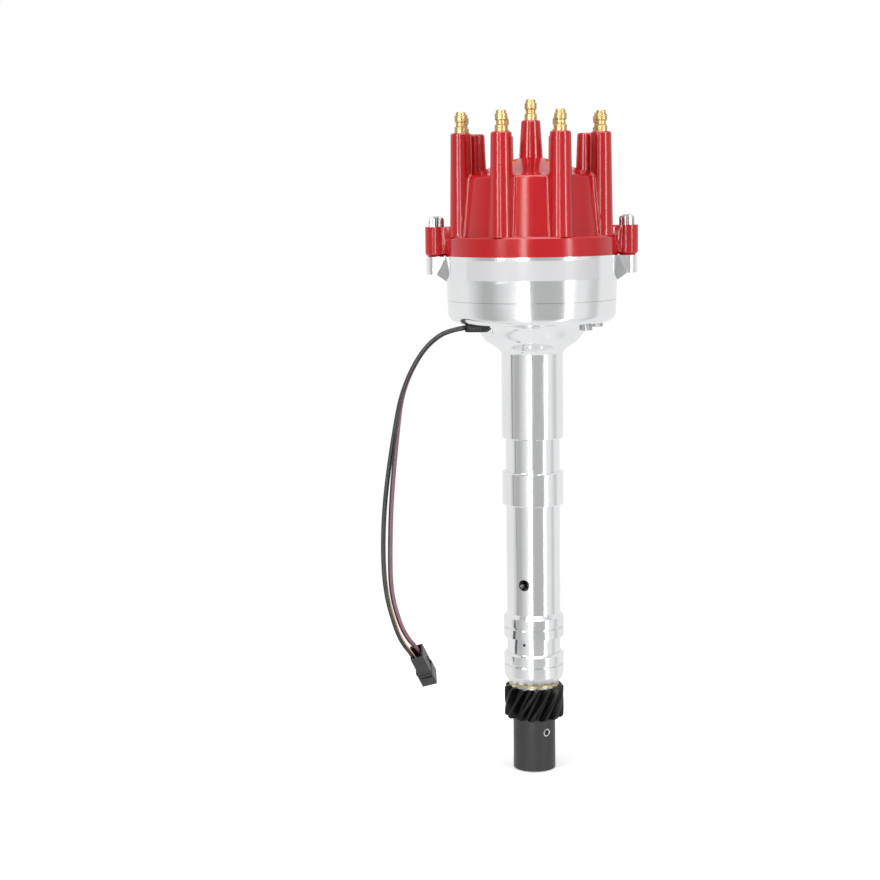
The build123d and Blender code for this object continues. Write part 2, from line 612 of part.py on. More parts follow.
# Sealed bearing: two races that run past each other, shields and a snap ring
with BuildPart() as bearing_outer_race:
    add(tube(bearing_outer_radius, outer_race_inner, bearing_floor, bearing_top))
save(bearing_outer_race, "bearing_outer_race")
with BuildPart() as bearing_inner_race:
    add(tube(inner_race_radius, shaft_radius + seat, bearing_floor, bearing_top))
save(bearing_inner_race, "bearing_inner_race")
with BuildPart() as bearing_shields:
    for low in (bearing_floor + free, bearing_top - free - shield_thickness):
        add(tube(outer_race_inner - seat, inner_race_radius + free, low, low + shield_thickness))
save(bearing_shields, "bearing_shields")
with BuildPart() as bearing_snap_ring:
    add(tube(bearing_outer_radius, bearing_outer_radius - snap_ring_width, bearing_top,
             bearing_top + snap_ring_thickness))
    with Locations((bearing_outer_radius - snap_ring_width / 2, 0,
                    bearing_top + snap_ring_thickness / 2)):
        Box(2 * snap_ring_width, snap_ring_gap, snap_ring_thickness, mode=Mode.SUBTRACT)
save(bearing_snap_ring, "bearing_snap_ring")

# Advance cam, fixed on the shaft, with arms for the springs and a pin that stops the advance
stop_place = place(stop_pitch, stop_azimuth)
with BuildPart() as advance_cam:
    with BuildSketch(Plane.XY.offset(weight_bottom)):
        SlotOverall(2 * cam_long, 2 * cam_short, rotation=cam_azimuth)
    extrude(amount=arm_top - weight_bottom)
    with BuildSketch(Plane.XY.offset(weight_bottom)):
        with Locations(place(stop_pitch / 2, stop_azimuth)[:2]):
            SlotCenterToCenter(stop_pitch, 2 * stop_bush_radius, rotation=stop_azimuth)
    extrude(amount=stop_ear_height)
    with BuildSketch(Plane.XY.offset(arm_bottom)):
        SlotCenterToCenter(2 * arm_pitch, arm_width, rotation=arm_azimuth)
    extrude(amount=arm_thickness)
    upright(arm_post_radius, arm_top, post_end, pair(arm_pitch, arm_azimuth))
    upright(stop_pin_radius, plate_bottom - stop_pin_end, weight_bottom, [stop_place])
    upright(cam_seat_radius + seat, weight_bottom - past, arm_top + past, [(0, 0)], Mode.SUBTRACT)
save(advance_cam, "advance_cam")

with BuildPart() as stop_bushing:
    upright(stop_bush_radius, plate_bottom - stop_pin_end, plate_top + free / 2, [stop_place])
    upright(stop_pin_radius + seat, plate_bottom - past - stop_pin_end, plate_top + past,
            [stop_place], Mode.SUBTRACT)
save(stop_bushing, "stop_bushing")

# Advance plate: sleeve that turns on the shaft, pivot pins for the weights, standoffs for the rotor
pivots = pair(pivot_pitch, pivot_azimuth)
standoffs = pair(standoff_pitch, standoff_azimuth)
weight_clip_inner = pivot_radius - weight_clip_groove
weight_clip_top = weight_clip_bottom + weight_clip_height
with BuildPart() as advance_plate:
    add(tube(sleeve_radius, 0, sleeve_bottom, plate_bottom))
    add(tube(plate_radius, 0, plate_bottom, plate_top))
    upright(pivot_radius, plate_top, post_end, pivots)
    upright(standoff_radius, plate_top, rotor_bottom, standoffs)
    upright(shaft_radius + running, sleeve_bottom - past, plate_top + past, [(0, 0)], Mode.SUBTRACT)
    with BuildSketch(Plane.XY.offset(plate_bottom)):
        SlotArc(CenterArc((0, 0), stop_pitch, stop_azimuth, advance_travel),
                2 * (stop_bush_radius + stop_slot_gap))
    extrude(amount=plate_thickness, mode=Mode.SUBTRACT)
    upright(rotor_screw_radius, rotor_bottom - rotor_screw_grip, rotor_bottom + past, standoffs,
            Mode.SUBTRACT)
    with Locations(*pivots):
        add(tube(pivot_radius + past, weight_clip_inner, weight_clip_bottom, weight_clip_top),
            mode=Mode.SUBTRACT)
save(advance_plate, "advance_plate")

with BuildPart() as weight_clips:
    with Locations(*pivots):
        add(tube(pivot_radius + weight_clip_reach, weight_clip_inner, weight_clip_bottom,
                 weight_clip_top))
        with Locations((0, pivot_radius, (weight_clip_bottom + weight_clip_top) / 2)):
            Box(weight_clip_mouth, 2 * pivot_radius, weight_clip_height, mode=Mode.SUBTRACT)
save(weight_clips, "weight_clips")

# Centrifugal weights, each a crescent that swings out about its pin
for name, turn in (("weight_front", 180.0), ("weight_rear", 0.0)):
    with BuildPart() as weight:
        with BuildSketch(Plane.XY.offset(weight_bottom)):
            with BuildLine():
                outer_arc = CenterArc((0, 0), weight_outer, weight_start + turn,
                                      weight_end - weight_start)
                inner_arc = CenterArc((0, 0), weight_inner, weight_start + turn,
                                      weight_end - weight_start)
                Line(outer_arc @ 0, inner_arc @ 0)
                Line(outer_arc @ 1, inner_arc @ 1)
            make_face()
            with Locations(place(pivot_pitch, pivot_azimuth + turn)[:2]):
                Circle(pivot_radius + running, mode=Mode.SUBTRACT)
        extrude(amount=weight_thickness)
        fillet(weight.edges().filter_by(Axis.Z).sort_by(SortBy.DISTANCE)[-2:], weight_nose)
    save(weight, name)

# Advance springs, each a closely wound coil between a pivot pin and an arm of the cam
with BuildPart() as advance_springs:
    for side in (1, -1):
        hook = Vector(*place(side * pivot_pitch, pivot_azimuth, spring_level))
        anchor = Vector(*place(side * arm_pitch, arm_azimuth, spring_level))
        run = anchor - hook
        with BuildSketch(Plane(hook + run * spring_start, z_dir=run)):
            Circle(spring_radius)
            Circle(spring_radius - spring_wire, mode=Mode.SUBTRACT)
        extrude(amount=run.length * spring_share)
save(advance_springs, "advance_springs")

# Reluctor with one paddle for each cylinder, pinned to the sleeve
reluctor_pin_plane = radial_plane(reluctor_pin_azimuth, reluctor_middle)
with BuildPart() as reluctor:
    with BuildSketch(Plane.XY.offset(reluctor_bottom)):
        Circle(reluctor_hub_radius)
        with PolarLocations(paddle_radius / 2, tower_count, start_angle=pickup_azimuth):
            Rectangle(paddle_radius, paddle_width)
        Circle(sleeve_radius + seat, mode=Mode.SUBTRACT)
    extrude(amount=reluctor_height)
    with BuildSketch(reluctor_pin_plane):
        Circle(reluctor_pin_radius)
    extrude(amount=paddle_radius, mode=Mode.SUBTRACT)
save(reluctor, "reluctor")
with BuildPart() as reluctor_pin:
    with BuildSketch(reluctor_pin_plane.offset(sleeve_radius + running)):
        Circle(reluctor_pin_radius)
    extrude(amount=reluctor_wall - free)
save(reluctor_pin, "reluctor_pin")

# Rotor: moulded disc and hub with an arm that carries the brass blade
arm_plane = Plane((0, 0, 0), x_dir=place(1, rotor_azimuth), z_dir=(0, 0, 1))
with BuildPart() as rotor:
    add(turned([(0, rotor_bottom), (rotor_disc_radius, rotor_bottom),
                (rotor_disc_radius, rotor_disc_top), (rotor_hub_low, rotor_disc_top),
                (rotor_hub_high, blade_bottom), (0, blade_bottom)]))
    with BuildSketch(arm_plane.offset(rotor_disc_top)):
        with Locations((rotor_disc_radius / 2, 0)):
            Rectangle(rotor_disc_radius, blade_width + 2 * blade_bed)
    extrude(amount=rotor_hub_height)
    upright(rotor_relief_radius, rotor_bottom - past, rotor_bottom + rotor_relief_depth, [(0, 0)],
            Mode.SUBTRACT)
    upright(rotor_screw_radius + free, rotor_bottom - past, rotor_disc_top + past, standoffs,
            Mode.SUBTRACT)
save(rotor, "rotor")

with BuildPart() as rotor_contact:
    with BuildSketch(arm_plane.offset(blade_bottom)):
        with Locations(((rotor_tip - blade_tail) / 2, 0)):
            Rectangle(rotor_tip + blade_tail, blade_width)
    extrude(amount=blade_thickness)
    upright(contact_radius, blade_top, contact_top, [(0, 0)])
save(rotor_contact, "rotor_contact")

with BuildPart() as rotor_screws:
    upright(rotor_screw_radius, rotor_bottom - rotor_screw_grip, rotor_disc_top, standoffs)
    upright(rotor_screw_head, rotor_disc_top, rotor_disc_top + rotor_screw_head_height, standoffs)
save(rotor_screws, "rotor_screws")

with BuildPart() as carbon_brush:
    upright(brush_radius, brush_bottom, brush_top, [(0, 0)])
save(carbon_brush, "carbon_brush")
brush_spring_radius = brush_radius - brush_spring_inset
with BuildPart() as brush_spring:
    add(tube(brush_spring_radius, brush_spring_radius - brush_spring_wall, brush_top, spring_seat))
save(brush_spring, "brush_spring")

# Pickup: pole piece, coil, magnet and the bracket that two screws hold from below
pickup_plane = radial_plane(pickup_azimuth, reluctor_middle)
with BuildPart() as pickup_pole:
    with BuildSketch(pickup_plane.offset(pole_start)):
        Rectangle(pole_width, pole_height)
    extrude(amount=coil_end - pole_start)
save(pickup_pole, "pickup_pole")
with BuildPart() as pickup_coil:
    for start, length, radius in ((coil_start, coil_length, coil_radius - winding_step),
                                  (coil_start, flange_thickness, coil_radius),
                                  (coil_end - flange_thickness, flange_thickness, coil_radius)):
        with BuildSketch(pickup_plane.offset(start)):
            Circle(radius)
        extrude(amount=length)
    with BuildSketch(pickup_plane.offset(coil_start)):
        Rectangle(pole_width, pole_height)
    extrude(amount=coil_length, mode=Mode.SUBTRACT)
save(pickup_coil, "pickup_coil")
with BuildPart() as pickup_magnet:
    with BuildSketch(pickup_plane.offset(coil_end)):
        Rectangle(magnet_width, magnet_height)
    extrude(amount=magnet_length)
save(pickup_magnet, "pickup_magnet")
bracket_start = pickup_azimuth - bracket_span / 2
magnet_top = reluctor_middle + magnet_height / 2
with BuildPart() as pickup_bracket:
    with BuildSketch(Plane.XY.offset(floor_top)):
        with BuildLine():
            outer_arc = CenterArc((0, 0), bracket_outer, bracket_start, bracket_span)
            inner_arc = CenterArc((0, 0), bracket_inner, bracket_start, bracket_span)
            Line(outer_arc @ 0, inner_arc @ 0)
            Line(outer_arc @ 1, inner_arc @ 1)
        make_face()
    extrude(amount=bracket_thickness)
    with BuildSketch(radial_plane(pickup_azimuth, (floor_top + magnet_top) / 2).offset(magnet_end)):
        Rectangle(magnet_width, magnet_top - floor_top)
    extrude(amount=bracket_tab)
    upright(pickup_screw_radius + seat, floor_top - past, floor_top + bracket_thickness + past,
            pickup_screw_centres, Mode.SUBTRACT)
save(pickup_bracket, "pickup_bracket")
with BuildPart() as pickup_screws:
    upright(pickup_screw_radius, floor_underside, floor_top + bracket_thickness + pickup_screw_end,
            pickup_screw_centres)
    upright(pickup_head_radius, floor_underside - pickup_head_height, floor_underside,
            pickup_screw_centres)
save(pickup_screws, "pickup_screws")

# Flat twin lead inside the bowl, from the coil round the wall to the grommet
with BuildPart() as pickup_leads:
    with BuildSketch(radial_plane(lead_start - 90, floor_top + lead_gap + lead_height / 2)):
        with Locations((-lead_pitch, 0)):
            Rectangle(lead_width, lead_height)
    revolve(axis=Axis.Z, revolution_arc=-lead_sweep)
save(pickup_leads, "pickup_leads")

# Grommet under the floor, with a neck through it
with BuildPart() as wire_grommet:
    with BuildSketch(Plane.XY.offset(floor_underside - grommet_height)):
        with Locations(grommet_centre[:2]):
            SlotOverall(grommet_length, grommet_width)
    extrude(amount=grommet_height)
    with BuildSketch(Plane.XY.offset(floor_underside)):
        with Locations(grommet_centre[:2]):
            SlotOverall(grommet_length - 2 * grommet_shoulder, grommet_width - 2 * grommet_shoulder)
    extrude(amount=floor_thickness)
save(wire_grommet, "wire_grommet")


# Wires: straight runs joined by arcs as large as the runs allow
def bend_radii(points):
    """One radius for each corner: 0.45 of the shorter run over the tangent of half the turn."""
    radii = []
    for before, corner, after in zip(points, points[1:], points[2:]):
        turn = (corner - before).get_angle(after - corner)
        run = min((corner - before).length, (after - corner).length)
        radii.append(0.45 * run / tan(radians(turn / 2)))
    return radii


harness_start = Vector(grommet_centre[0] - grommet_length / 2, grommet_centre[1], floor_underside)
for name, steps in (("orange_wire", orange_steps), ("violet_wire", violet_steps)):
    route = [harness_start + Vector(*step) for step in steps]
    radii = bend_radii(route)
    print(name, "bend radii", [round(r, 1) for r in radii])
    with BuildPart() as wire:
        with BuildLine():
            path = FilletPolyline(*route, radius=radii)
        with BuildSketch(Plane(path @ 0, z_dir=path % 0)):
            Circle(wire_radius)
        sweep()
    print(name, "length", round(path.length, 1), "volume", round(wire.part.volume, 1),
          "section times length", round(wire_radius ** 2 * pi * path.length, 1))
    save(wire, name)

# Two-way connector shell, open at the back for the wires and at the front for its mate
connector_front = harness_start + Vector(*connector_step) - connector_axis.normalized() * connector_length
connector_plane = Plane(connector_front, x_dir=connector_across, z_dir=connector_axis)
cavity_size = (connector_width - 2 * connector_wall, connector_depth - 2 * connector_wall)
with BuildPart() as connector_shell:
    for length, rim_step in ((connector_length, 0.0), (connector_collar, connector_rim)):
        with BuildSketch(connector_plane):
            RectangleRounded(connector_width + 2 * rim_step, connector_depth + 2 * rim_step,
                             connector_corner)
        extrude(amount=length)
    for start, length in ((0.0, front_pocket), (connector_length - rear_pocket, rear_pocket)):
        with BuildSketch(connector_plane.offset(start)):
            Rectangle(*cavity_size)
        extrude(amount=length, mode=Mode.SUBTRACT)
    with BuildSketch(connector_plane.offset(front_pocket)):
        with Locations(*pin_places):
            Circle(pin_radius)
    extrude(amount=connector_length - front_pocket, mode=Mode.SUBTRACT)
    latch_centre = Vector(connector_width / 2, 0, connector_collar + latch_rise)
    latch_plane = Plane(connector_plane.from_local_coords(latch_centre),
                        x_dir=connector_axis, z_dir=connector_across)
    with BuildSketch(latch_plane):
        Rectangle(latch_length, latch_width)
    extrude(amount=latch_height)
save(connector_shell, "connector_shell")

with BuildPart() as connector_contacts:
    with BuildSketch(connector_plane.offset(pin_front)):
        with Locations(*pin_places):
            Circle(pin_radius - seat)
    extrude(amount=connector_length - rear_pocket + pin_rear - pin_front)
save(connector_contacts, "connector_contacts")
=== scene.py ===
"""Ignition distributor, dressed: finishes, leads, plug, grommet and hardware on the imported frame.

Metres, +Z up the shaft, the origin at the middle of the clamp neck, -Y the front.
"""
import json
import logging
import math
from collections import defaultdict
from dataclasses import dataclass
from enum import Enum
from typing import Callable, Sequence, Union

import bmesh
import bpy
from bpy.types import ColorRamp, Material, NodeSocket, Object, World
from mathutils import Matrix, Vector

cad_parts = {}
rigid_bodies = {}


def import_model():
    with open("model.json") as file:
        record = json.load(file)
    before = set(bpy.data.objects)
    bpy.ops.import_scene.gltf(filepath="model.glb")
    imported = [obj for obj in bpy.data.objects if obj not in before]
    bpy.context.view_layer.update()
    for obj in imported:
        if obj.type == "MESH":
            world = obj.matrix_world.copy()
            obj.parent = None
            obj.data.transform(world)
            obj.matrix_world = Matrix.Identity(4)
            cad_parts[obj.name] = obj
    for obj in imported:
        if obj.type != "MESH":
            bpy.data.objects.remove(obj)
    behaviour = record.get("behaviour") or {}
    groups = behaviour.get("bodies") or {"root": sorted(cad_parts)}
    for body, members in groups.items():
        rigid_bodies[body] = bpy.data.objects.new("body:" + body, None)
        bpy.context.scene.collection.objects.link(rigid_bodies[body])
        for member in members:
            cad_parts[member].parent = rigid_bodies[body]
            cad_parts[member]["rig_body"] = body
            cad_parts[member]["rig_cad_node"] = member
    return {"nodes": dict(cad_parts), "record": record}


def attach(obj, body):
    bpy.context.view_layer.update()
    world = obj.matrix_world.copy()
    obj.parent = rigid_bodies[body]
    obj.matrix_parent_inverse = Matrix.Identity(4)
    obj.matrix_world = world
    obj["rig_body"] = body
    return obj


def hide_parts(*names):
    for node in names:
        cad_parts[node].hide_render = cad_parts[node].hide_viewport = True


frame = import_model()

LOG = logging.getLogger("distributor")
BODY_OF = {node: body for body, nodes in frame["record"]["behaviour"]["bodies"].items()
           for node in nodes}
SLOT_OF = {part["node"]: part["material_slot"] for part in frame["record"]["subparts"]}
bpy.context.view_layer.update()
MM = 0.001

Colour = tuple[float, float, float]
Point = tuple[float, float, float]
Range = tuple[float, float]
Value = Union["Signal", float]
BLACK: Colour = (0.0, 0.0, 0.0)
WHITE = (1.0, 1.0, 1.0, 1.0)


def linear(red: int, green: int, blue: int) -> Colour:
    """Turn a screen colour into the linear colour that shaders take.

    Args:
        red: Red from 0 to 255.
        green: Green from 0 to 255.
        blue: Blue from 0 to 255.

    Returns:
        The linear colour.
    """
    def one(value: int) -> float:
        share = value / 255
        return share / 12.92 if share <= 0.04045 else ((share + 0.055) / 1.055) ** 2.4
    return one(red), one(green), one(blue)


# ---- Shader maths ----

def math_operator(operation: str, swapped: bool = False) -> Callable[["Signal", Value], "Signal"]:
    """Make an operator that adds one Math node.

    Args:
        operation: Blender's name of the operation.
        swapped: Whether the other value comes first.

    Returns:
        A method for Signal.
    """
    def apply(own: "Signal", other: Value) -> "Signal":
        return own.graph.calculate(operation, *((other, own) if swapped else (own, other)))
    return apply


class Signal:
    """A shader socket that takes part in Python arithmetic by adding Math nodes."""

    __add__ = __radd__ = math_operator("ADD")
    __sub__ = math_operator("SUBTRACT")
    __rsub__ = math_operator("SUBTRACT", swapped=True)
    __mul__ = __rmul__ = math_operator("MULTIPLY")
    __pow__ = math_operator("POWER")
    __gt__ = math_operator("GREATER_THAN")
    __lt__ = math_operator("LESS_THAN")

    def __init__(self, graph: "Graph", socket: NodeSocket) -> None:
        """Wrap a socket.

        Args:
            graph: The graph that the socket belongs to.
            socket: The output socket to wrap.
        """
        self.graph = graph
        self.socket = socket

    def sine(self) -> "Signal":
        """Sine of this value in radians."""
        return self.graph.calculate("SINE", self)

    def absolute(self) -> "Signal":
        """Size of this value without its sign."""
        return self.graph.calculate("ABSOLUTE", self)

    def within(self, low: float, high: float) -> "Signal":
        """One where this lies between two limits, else zero."""
        return (self > low) * (self < high)

    def ramp(self, low: float, high: float) -> "Signal":
        """Rise from zero at low to one at high, clamped.

        Args:
            low: Value that gives zero.
            high: Value that gives one.

        Returns:
            The clamped ramp.
        """
        return self.graph.node("ShaderNodeMapRange", {"clamp": True},
                               {"Value": self, "From Min": low, "From Max": high})


class Graph:
    """A material's node tree, with one method that adds any node."""

    def __init__(self, name: str, owner: World | None = None, place: str = "Object") -> None:
        """Start a material or a world with an empty tree.

        Args:
            name: Name of the material.
            owner: World to fill in place of a new material.
            place: Texture coordinate that tells where a point is.
        """
        self.material = owner or bpy.data.materials.new(name)
        self.material.use_nodes = True
        self.tree = self.material.node_tree
        self.tree.nodes.clear()
        self.place = self.node("ShaderNodeTexCoord", {}, {}, place)

    def node(self, kind: str, settings: dict[str, object], inputs: dict[object, object],
             output: int | str = 0) -> Signal:
        """Add a node, set it, and link or fill its inputs.

        Args:
            kind: Blender's type name of the node.
            settings: Attributes of the node, set first; "stops" fills a colour ramp.
            inputs: Input name or index to a value or a Signal.
            output: Name or index of the output to hand back.

        Returns:
            The chosen output as a Signal.
        """
        made = self.tree.nodes.new(kind)
        for key, value in settings.items():
            if key == "stops":
                self._stops(made.color_ramp, value)
            else:
                setattr(made, key, value)
        for key, value in inputs.items():
            if isinstance(value, Signal):
                self.tree.links.new(value.socket, made.inputs[key])
            else:
                made.inputs[key].default_value = value
        return Signal(self, made.outputs[output]) if made.outputs else Signal(self, None)

    @staticmethod
    def _stops(ramp: ColorRamp, stops: Sequence[tuple[float, Colour]]) -> None:
        """Fill a colour ramp with its stops."""
        while len(ramp.elements) < len(stops):
            ramp.elements.new(0.5)
        for element, (at, colour) in zip(ramp.elements, stops):
            element.position = at
            element.color = (*colour, 1.0)

    def calculate(self, operation: str, *values: Value) -> Signal:
        """Add one Math node.

        Args:
            operation: Blender's name of the operation.
            values: Its inputs in order.

        Returns:
            The result.
        """
        return self.node("ShaderNodeMath", {"operation": operation}, dict(enumerate(values)))

    def axis(self, index: int) -> Signal:
        """One coordinate of the place on the object, in metres."""
        return self.node("ShaderNodeSeparateXYZ", {}, {0: self.place}, index)

    def azimuth(self) -> Signal:
        """Angle about the shaft, in radians."""
        return self.calculate("ARCTAN2", self.axis(1), self.axis(0))

    def radius(self) -> Signal:
        """Distance from the shaft, in metres."""
        return (self.axis(0) ** 2.0 + self.axis(1) ** 2.0) ** 0.5

    def noise(self, scale: float, detail: float = 2.0) -> Signal:
        """Cloudy noise between zero and one.

        Args:
            scale: Cells in a metre.
            detail: Octaves of finer noise.

        Returns:
            The noise's value.
        """
        return self.node("ShaderNodeTexNoise", {}, {"Vector": self.place, "Scale": scale,
                                                    "Detail": detail}, "Fac")

    def rings(self, pitch: float, scale: float, wander: float) -> Signal:
        """Fine rings about the vertical, between zero and one, as a lathe tool leaves them.

        Args:
            pitch: Metres from ring to ring.
            scale: Cells in a metre of the noise that bends the rings.
            wander: How far the noise bends them, in radians of a ring.

        Returns:
            The height of the rings.
        """
        phase = self.axis(2) * (2 * math.pi / pitch) + self.noise(scale) * wander
        return phase.sine() * 0.5 + 0.5

    def blend(self, share: Value, first: object, second: object) -> Signal:
        """Blend two colours by a share.

        Args:
            share: Zero gives the first and one the second.
            first: Colour or Signal.
            second: Colour or Signal.

        Returns:
            The blended colour.
        """
        def coloured(value: object) -> object:
            return value if isinstance(value, Signal) else (*value, 1.0)
        return self.node("ShaderNodeMix", {"data_type": "RGBA"},
                         {0: share, 6: coloured(first), 7: coloured(second)}, 2)

    def bump(self, height: Signal, depth: float) -> Signal:
        """Bump from a height between zero and one.

        Args:
            height: The height.
            depth: Metres that a height of one stands up.

        Returns:
            A normal for the shader.
        """
        return self.node("ShaderNodeBump", {}, {"Height": height, "Distance": depth,
                                                "Strength": 1.0}, "Normal")

    def glow(self, strength: Value) -> Signal:
        """White light of a given strength, as an emission shader."""
        return self.node("ShaderNodeEmission", {}, {"Color": WHITE, "Strength": strength})

    def finish(self, **sockets: object) -> Material:
        """Close the graph with a Principled shader.

        Args:
            sockets: Input names, with underscores for spaces, to values or Signals.

        Returns:
            The finished material.
        """
        filled = {}
        for key, value in sockets.items():
            filled[key.replace("_", " ")] = (*value, 1.0) if isinstance(value, tuple) else value
        shader = self.node("ShaderNodeBsdfPrincipled", {}, filled)
        self.node("ShaderNodeOutputMaterial", {}, {"Surface": shader})
        return self.material


# ---- Finishes ----

MIDDLE: Range = (0.3, 0.7)      # the values that fill the middle of a noise
MOST: Range = (0.3, 0.8)        # the same and a little more of its peaks


@dataclass(frozen=True)
class PolishedAluminium:
    """Billet turned on a lathe and polished, with fine tool rings and a bare label strip."""

    name: str = "billet_aluminium"
    colour: Colour = linear(240, 241, 242)
    roughness: float = 0.11
    ring_pitch: float = 0.42 * MM
    ring_depth: float = 0.0010 * MM
    ring_noise: float = 60.0
    ring_wander: float = 5.0
    ring_rough: float = 0.03
    smudge_noise: float = 38.0
    smudge_range: Range = (0.35, 0.75)
    smudge_rough: float = 0.06
    smudge_shade: float = 0.94
    strip: Colour = linear(190, 190, 192)
    strip_levels: Range = (62.4 * MM, 72.6 * MM)
    strip_azimuths: Range = (math.radians(-137.0), math.radians(-41.0))
    strip_radius: float = 45.0 * MM
    strip_rough: float = 0.2
    line_level: float = 51.0 * MM
    line_half: float = 0.22 * MM
    line_radius: float = 40.0 * MM
    line_shade: float = 0.25
    # painted shade: the bore's inner walls are darkened towards black
    bore_levels: Range = (-150.0 * MM, -60.0 * MM)
    bore_radius: float = 13.6 * MM
    bore_shade: float = 0.8
    nose_top: float = -151.5 * MM
    nose_rough: float = 0.3

    def material(self) -> Material:
        """Make the material."""
        graph = Graph(self.name)
        rings = graph.rings(self.ring_pitch, self.ring_noise, self.ring_wander)
        smudge = graph.noise(self.smudge_noise, 3.0)
        height, reach = graph.axis(2), graph.radius()
        strip = (height.within(*self.strip_levels) * (reach > self.strip_radius)
                 * graph.azimuth().within(*self.strip_azimuths))
        line = ((height - self.line_level).absolute() < self.line_half) * (reach > self.line_radius)
        # painted shade: mask of the bore's inner walls, which are darkened towards black
        bore = height.within(*self.bore_levels) * (reach < self.bore_radius)
        rough = (smudge.ramp(*self.smudge_range) * self.smudge_rough + rings * self.ring_rough
                 + self.roughness + strip * self.strip_rough
                 + (height < self.nose_top) * self.nose_rough)
        tint = graph.blend(smudge.ramp(*MOST), self.colour,
                           tuple(part * self.smudge_shade for part in self.colour))
        tint = graph.blend(line * self.line_shade + bore * self.bore_shade, tint, BLACK)
        bare = 1.0 - strip
        return graph.finish(Base_Color=graph.blend(strip, tint, self.strip), Metallic=bare,
                            Roughness=rough, Normal=graph.bump(rings * bare, self.ring_depth))


@dataclass(frozen=True)
class GlossMoulding:
    """Hard moulded plastic with a deep gloss, a faint ripple and specks of dust."""

    name: str = "red_moulding"
    colour: Colour = linear(176, 15, 23)
    deep: Colour = linear(164, 12, 19)
    roughness: float = 0.15
    ior: float = 1.5
    cloud_noise: float = 22.0
    cloud_rough: float = 0.05
    ripple_noise: float = 420.0
    ripple_depth: float = 0.012 * MM
    dust_noise: float = 2600.0
    dust_range: Range = (0.74, 0.80)
    dust_rough: float = 0.12

    def material(self) -> Material:
        """Make the material."""
        graph = Graph(self.name)
        cloud = graph.noise(self.cloud_noise, 3.0)
        dust = graph.noise(self.dust_noise, 1.0).ramp(*self.dust_range)
        rough = cloud.ramp(*MOST) * self.cloud_rough + dust * self.dust_rough + self.roughness
        return graph.finish(
            Base_Color=graph.blend(cloud.ramp(*MIDDLE), self.colour, self.deep), IOR=self.ior,
            Roughness=rough, Normal=graph.bump(graph.noise(self.ripple_noise), self.ripple_depth))


@dataclass(frozen=True)
class TurnedMetal:
    """Small turned metal parts with rings about the vertical and a little tarnish."""

    name: str
    colour: Colour
    tarnish: Colour
    roughness: float
    ring_pitch: float = 0.22 * MM
    ring_depth: float = 0.004 * MM
    ring_noise: float = 300.0
    ring_wander: float = 3.0
    ring_rough: float = 0.05
    spot_noise: float = 240.0
    spot_range: Range = (0.4, 0.8)
    tarnish_range: Range = (0.45, 0.8)
    spot_rough: float = 0.12

    def material(self) -> Material:
        """Make the material."""
        graph = Graph(self.name)
        rings = graph.rings(self.ring_pitch, self.ring_noise, self.ring_wander)
        spots = graph.noise(self.spot_noise, 4.0)
        rough = (spots.ramp(*self.spot_range) * self.spot_rough + rings * self.ring_rough
                 + self.roughness)
        return graph.finish(
            Base_Color=graph.blend(spots.ramp(*self.tarnish_range), self.colour, self.tarnish),
            Metallic=1.0, Roughness=rough, Normal=graph.bump(rings, self.ring_depth))


@dataclass(frozen=True)
class BlackOxide:
    """Blackened steel, slightly oily, darker on the hobbed teeth than on the turned hub."""

    name: str = "black_oxide_steel"
    hub: Colour = linear(74, 74, 74)
    teeth: Colour = linear(40, 40, 39)
    teeth_from: float = -175.2 * MM
    metallic: float = 0.9
    roughness: float = 0.38
    cloud_noise: float = 70.0
    cloud_range: Range = (0.2, 0.8)
    cloud_rough: float = 0.08
    cloud_shade: float = 0.12
    grain_noise: float = 1500.0
    grain_depth: float = 0.002 * MM

    def material(self) -> Material:
        """Make the material."""
        graph = Graph(self.name)
        cloud = graph.noise(self.cloud_noise).ramp(*self.cloud_range)
        colour = graph.blend(graph.axis(2) > self.teeth_from, self.hub, self.teeth)
        return graph.finish(Base_Color=graph.blend(cloud * self.cloud_shade, colour, BLACK),
                            Metallic=self.metallic,
                            Roughness=cloud * self.cloud_rough + self.roughness,
                            Normal=graph.bump(graph.noise(self.grain_noise), self.grain_depth))


@dataclass(frozen=True)
class DullMoulding:
    """Rubber, nylon or another dull moulding with a fine grain."""

    name: str
    colour: Colour
    roughness: float
    grain_noise: float
    grain_depth: float = 0.02 * MM
    grain_rough: float = 0.12
    cloud_noise: float = 90.0
    cloud_gain: float = 1.5

    def material(self) -> Material:
        """Make the material."""
        graph = Graph(self.name)
        grain = graph.noise(self.grain_noise, 3.0)
        paler = tuple(part * self.cloud_gain for part in self.colour)
        colour = graph.blend(graph.noise(self.cloud_noise).ramp(*MIDDLE), self.colour, paler)
        return graph.finish(Base_Color=colour, Roughness=grain * self.grain_rough + self.roughness,
                            Normal=graph.bump(grain, self.grain_depth))


class Side(Enum):
    """Sides of a hanging lead, as shares of the way around it."""

    RIGHT = 0.8
    BACK = 0.5


